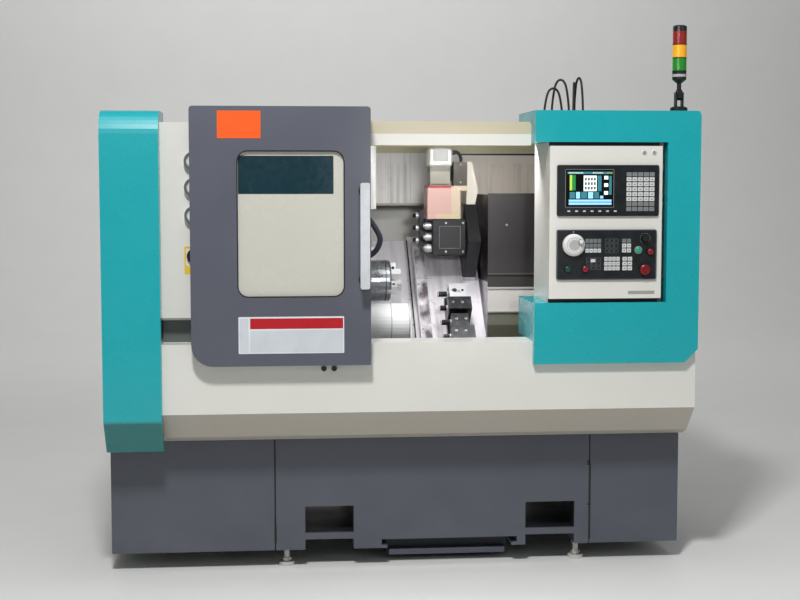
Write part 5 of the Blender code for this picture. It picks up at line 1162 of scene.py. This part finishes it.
def shell_pieces():
    """Cover plates and lifting sockets of the roof, and glands and a plug panel at the back."""
    roof = Piece("roof_fittings")
    top = ROOF_TOP + CLEAR
    for x in ((0.24, 0.88), (0.94, 1.56)):
        roof.box(x, (-0.25, 0.38), (top, top + 0.0015), "white_paint", 0.0005)
        across = (x[0] + 0.02, sum(x) / 2, x[1] - 0.02)
        roof.screws(across, (-0.235, 0.065, 0.365), (top + 0.0016,), UP, 0.005)
    for x, y in product((0.18, 1.64), (-0.22, 0.42)):
        roof.ring([(0.0, 0.01), (0.0, 0.024), (0.006, 0.024), (0.01, 0.018), (0.01, 0.01)],
                  UP, (x, y, top), "zinc", 20)
    roof.place("machine", "white_paint")

    rear = Piece("rear_fittings")
    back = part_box("rear_panel")[1].y + CLEAR
    rear.plate((0.3, 0.56), (1.15, 1.29), (back, back + 0.002), "plate_grey", 0.006)
    for number in range(4):
        rear.turned([(0, 0.017), (0.006, 0.017), (0.006, 0.013), (0.02, 0.0115)], BACK,
                    (0.335 + 0.063 * number, back + 0.0023, 1.22), "black_plastic", 18)
    rear.screws((0.312, 0.548), (back + 0.0023,), (1.162, 1.278), BACK, 0.0042)
    rear.place("machine", "white_paint")


def cabinet_pieces():
    """Hinges and lock of the electrical cabinet, and the plate, ducts and modules inside it."""
    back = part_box("cabinet_door")[1].y
    lock = Piece("cabinet_lock")
    lock.plate((1.214, 1.236), (1.07, 1.15), (back - 0.006, back - 0.004), "black_plastic", 0.003)
    lock.turned([(0, 0.007), (0.0025, 0.0066)], BACK, (1.225, back - 0.0039, 1.092), "zinc", 20)
    lock.place("cabinet_door", "black_plastic")

    inside = Piece("cabinet_inside")
    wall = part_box("rear_cabinet")[0].y + 0.012
    x0, x1, z0, z1 = 1.215, 2.105, 0.6, 1.62
    inside.box((x0, x1), (wall, wall + 0.003), (z0, z1), "zinc_plate", 0.001)
    near = wall + 0.0032
    for z in (z0 + 0.02, 0.905, 1.195, 1.415, z1 - 0.05):
        inside.box((x0 + 0.02, x1 - 0.02), (near, near + 0.04), (z, z + 0.03), "duct_grey", 0.001)
        inside.row(40, x0 + 0.03, 0.0207, 0.004, (near + 0.0402, near + 0.041), (z + 0.003, z + 0.027), 0.0,
                   "dial_black")
    inside.row(4, x0 + 0.05, 0.115, 0.09, (near, near + 0.085), (0.965, 1.165), 0.002, "module_grey")
    drive = near + 0.0852
    inside.row(4, x0 + 0.062, 0.115, 0.066, (drive, drive + 0.0028), (1.1, 1.15), 0.001, "glass_black")
    for number in range(4):
        z = 0.975 + 0.026 * number
        inside.row(4, x0 + 0.062, 0.115, 0.066, (drive, drive + 0.0038), (z, z + 0.016), 0.001, "duct_grey")
    inside.box((x0 + 0.54, x0 + 0.79), (near, near + 0.09), (0.96, 1.17), "white_casting", 0.003)
    inside.row(14, x0 + 0.05, 0.045, 0.036, (near, near + 0.07), (1.26, 1.35), 0.002,
               "key_grey", "black_plastic", "black_plastic")
    inside.row(14, x0 + 0.06, 0.045, 0.016, (near + 0.0702, near + 0.076), (1.29, 1.315), 0.001, "key_light")
    inside.row(36, x0 + 0.04, 0.0215, 0.019, (near, near + 0.045), (0.7, 0.76), 0.001,
               "key_grey", "key_light")
    inside.row(9, x0 + 0.06, 0.088, 0.07, (near, near + 0.06), (1.47, 1.545), 0.002,
               "black_plastic", "green_button", "key_grey")
    inside.place("machine", "white_paint")

    hinges = Piece("cabinet_hinges")
    for z in (0.7, 1.11, 1.52):
        for half, radius in ((0.04, 0.006), (0.042, 0.0045)):
            hinges.turned([(-half, radius), (half, radius)], UP, (2.1465, back - 0.0065, z), "zinc", 16)
    hinges.place("machine", "steel")


dress_nodes()
light_and_camera()
stage()
door_pieces()
gauges()
screen_picture()
panel_keys(UNIT_FRONT - CLEAR)
control_rings(UNIT_FRONT - CLEAR)
handwheel_pieces(UNIT_FRONT - CLEAR)
panel_fittings()
roof_cables()
coolant()
gang_pieces()
live_pieces()
chuck_pieces()
inside_pieces()
base_pieces()
tower_rings()
shell_pieces()
cabinet_pieces()
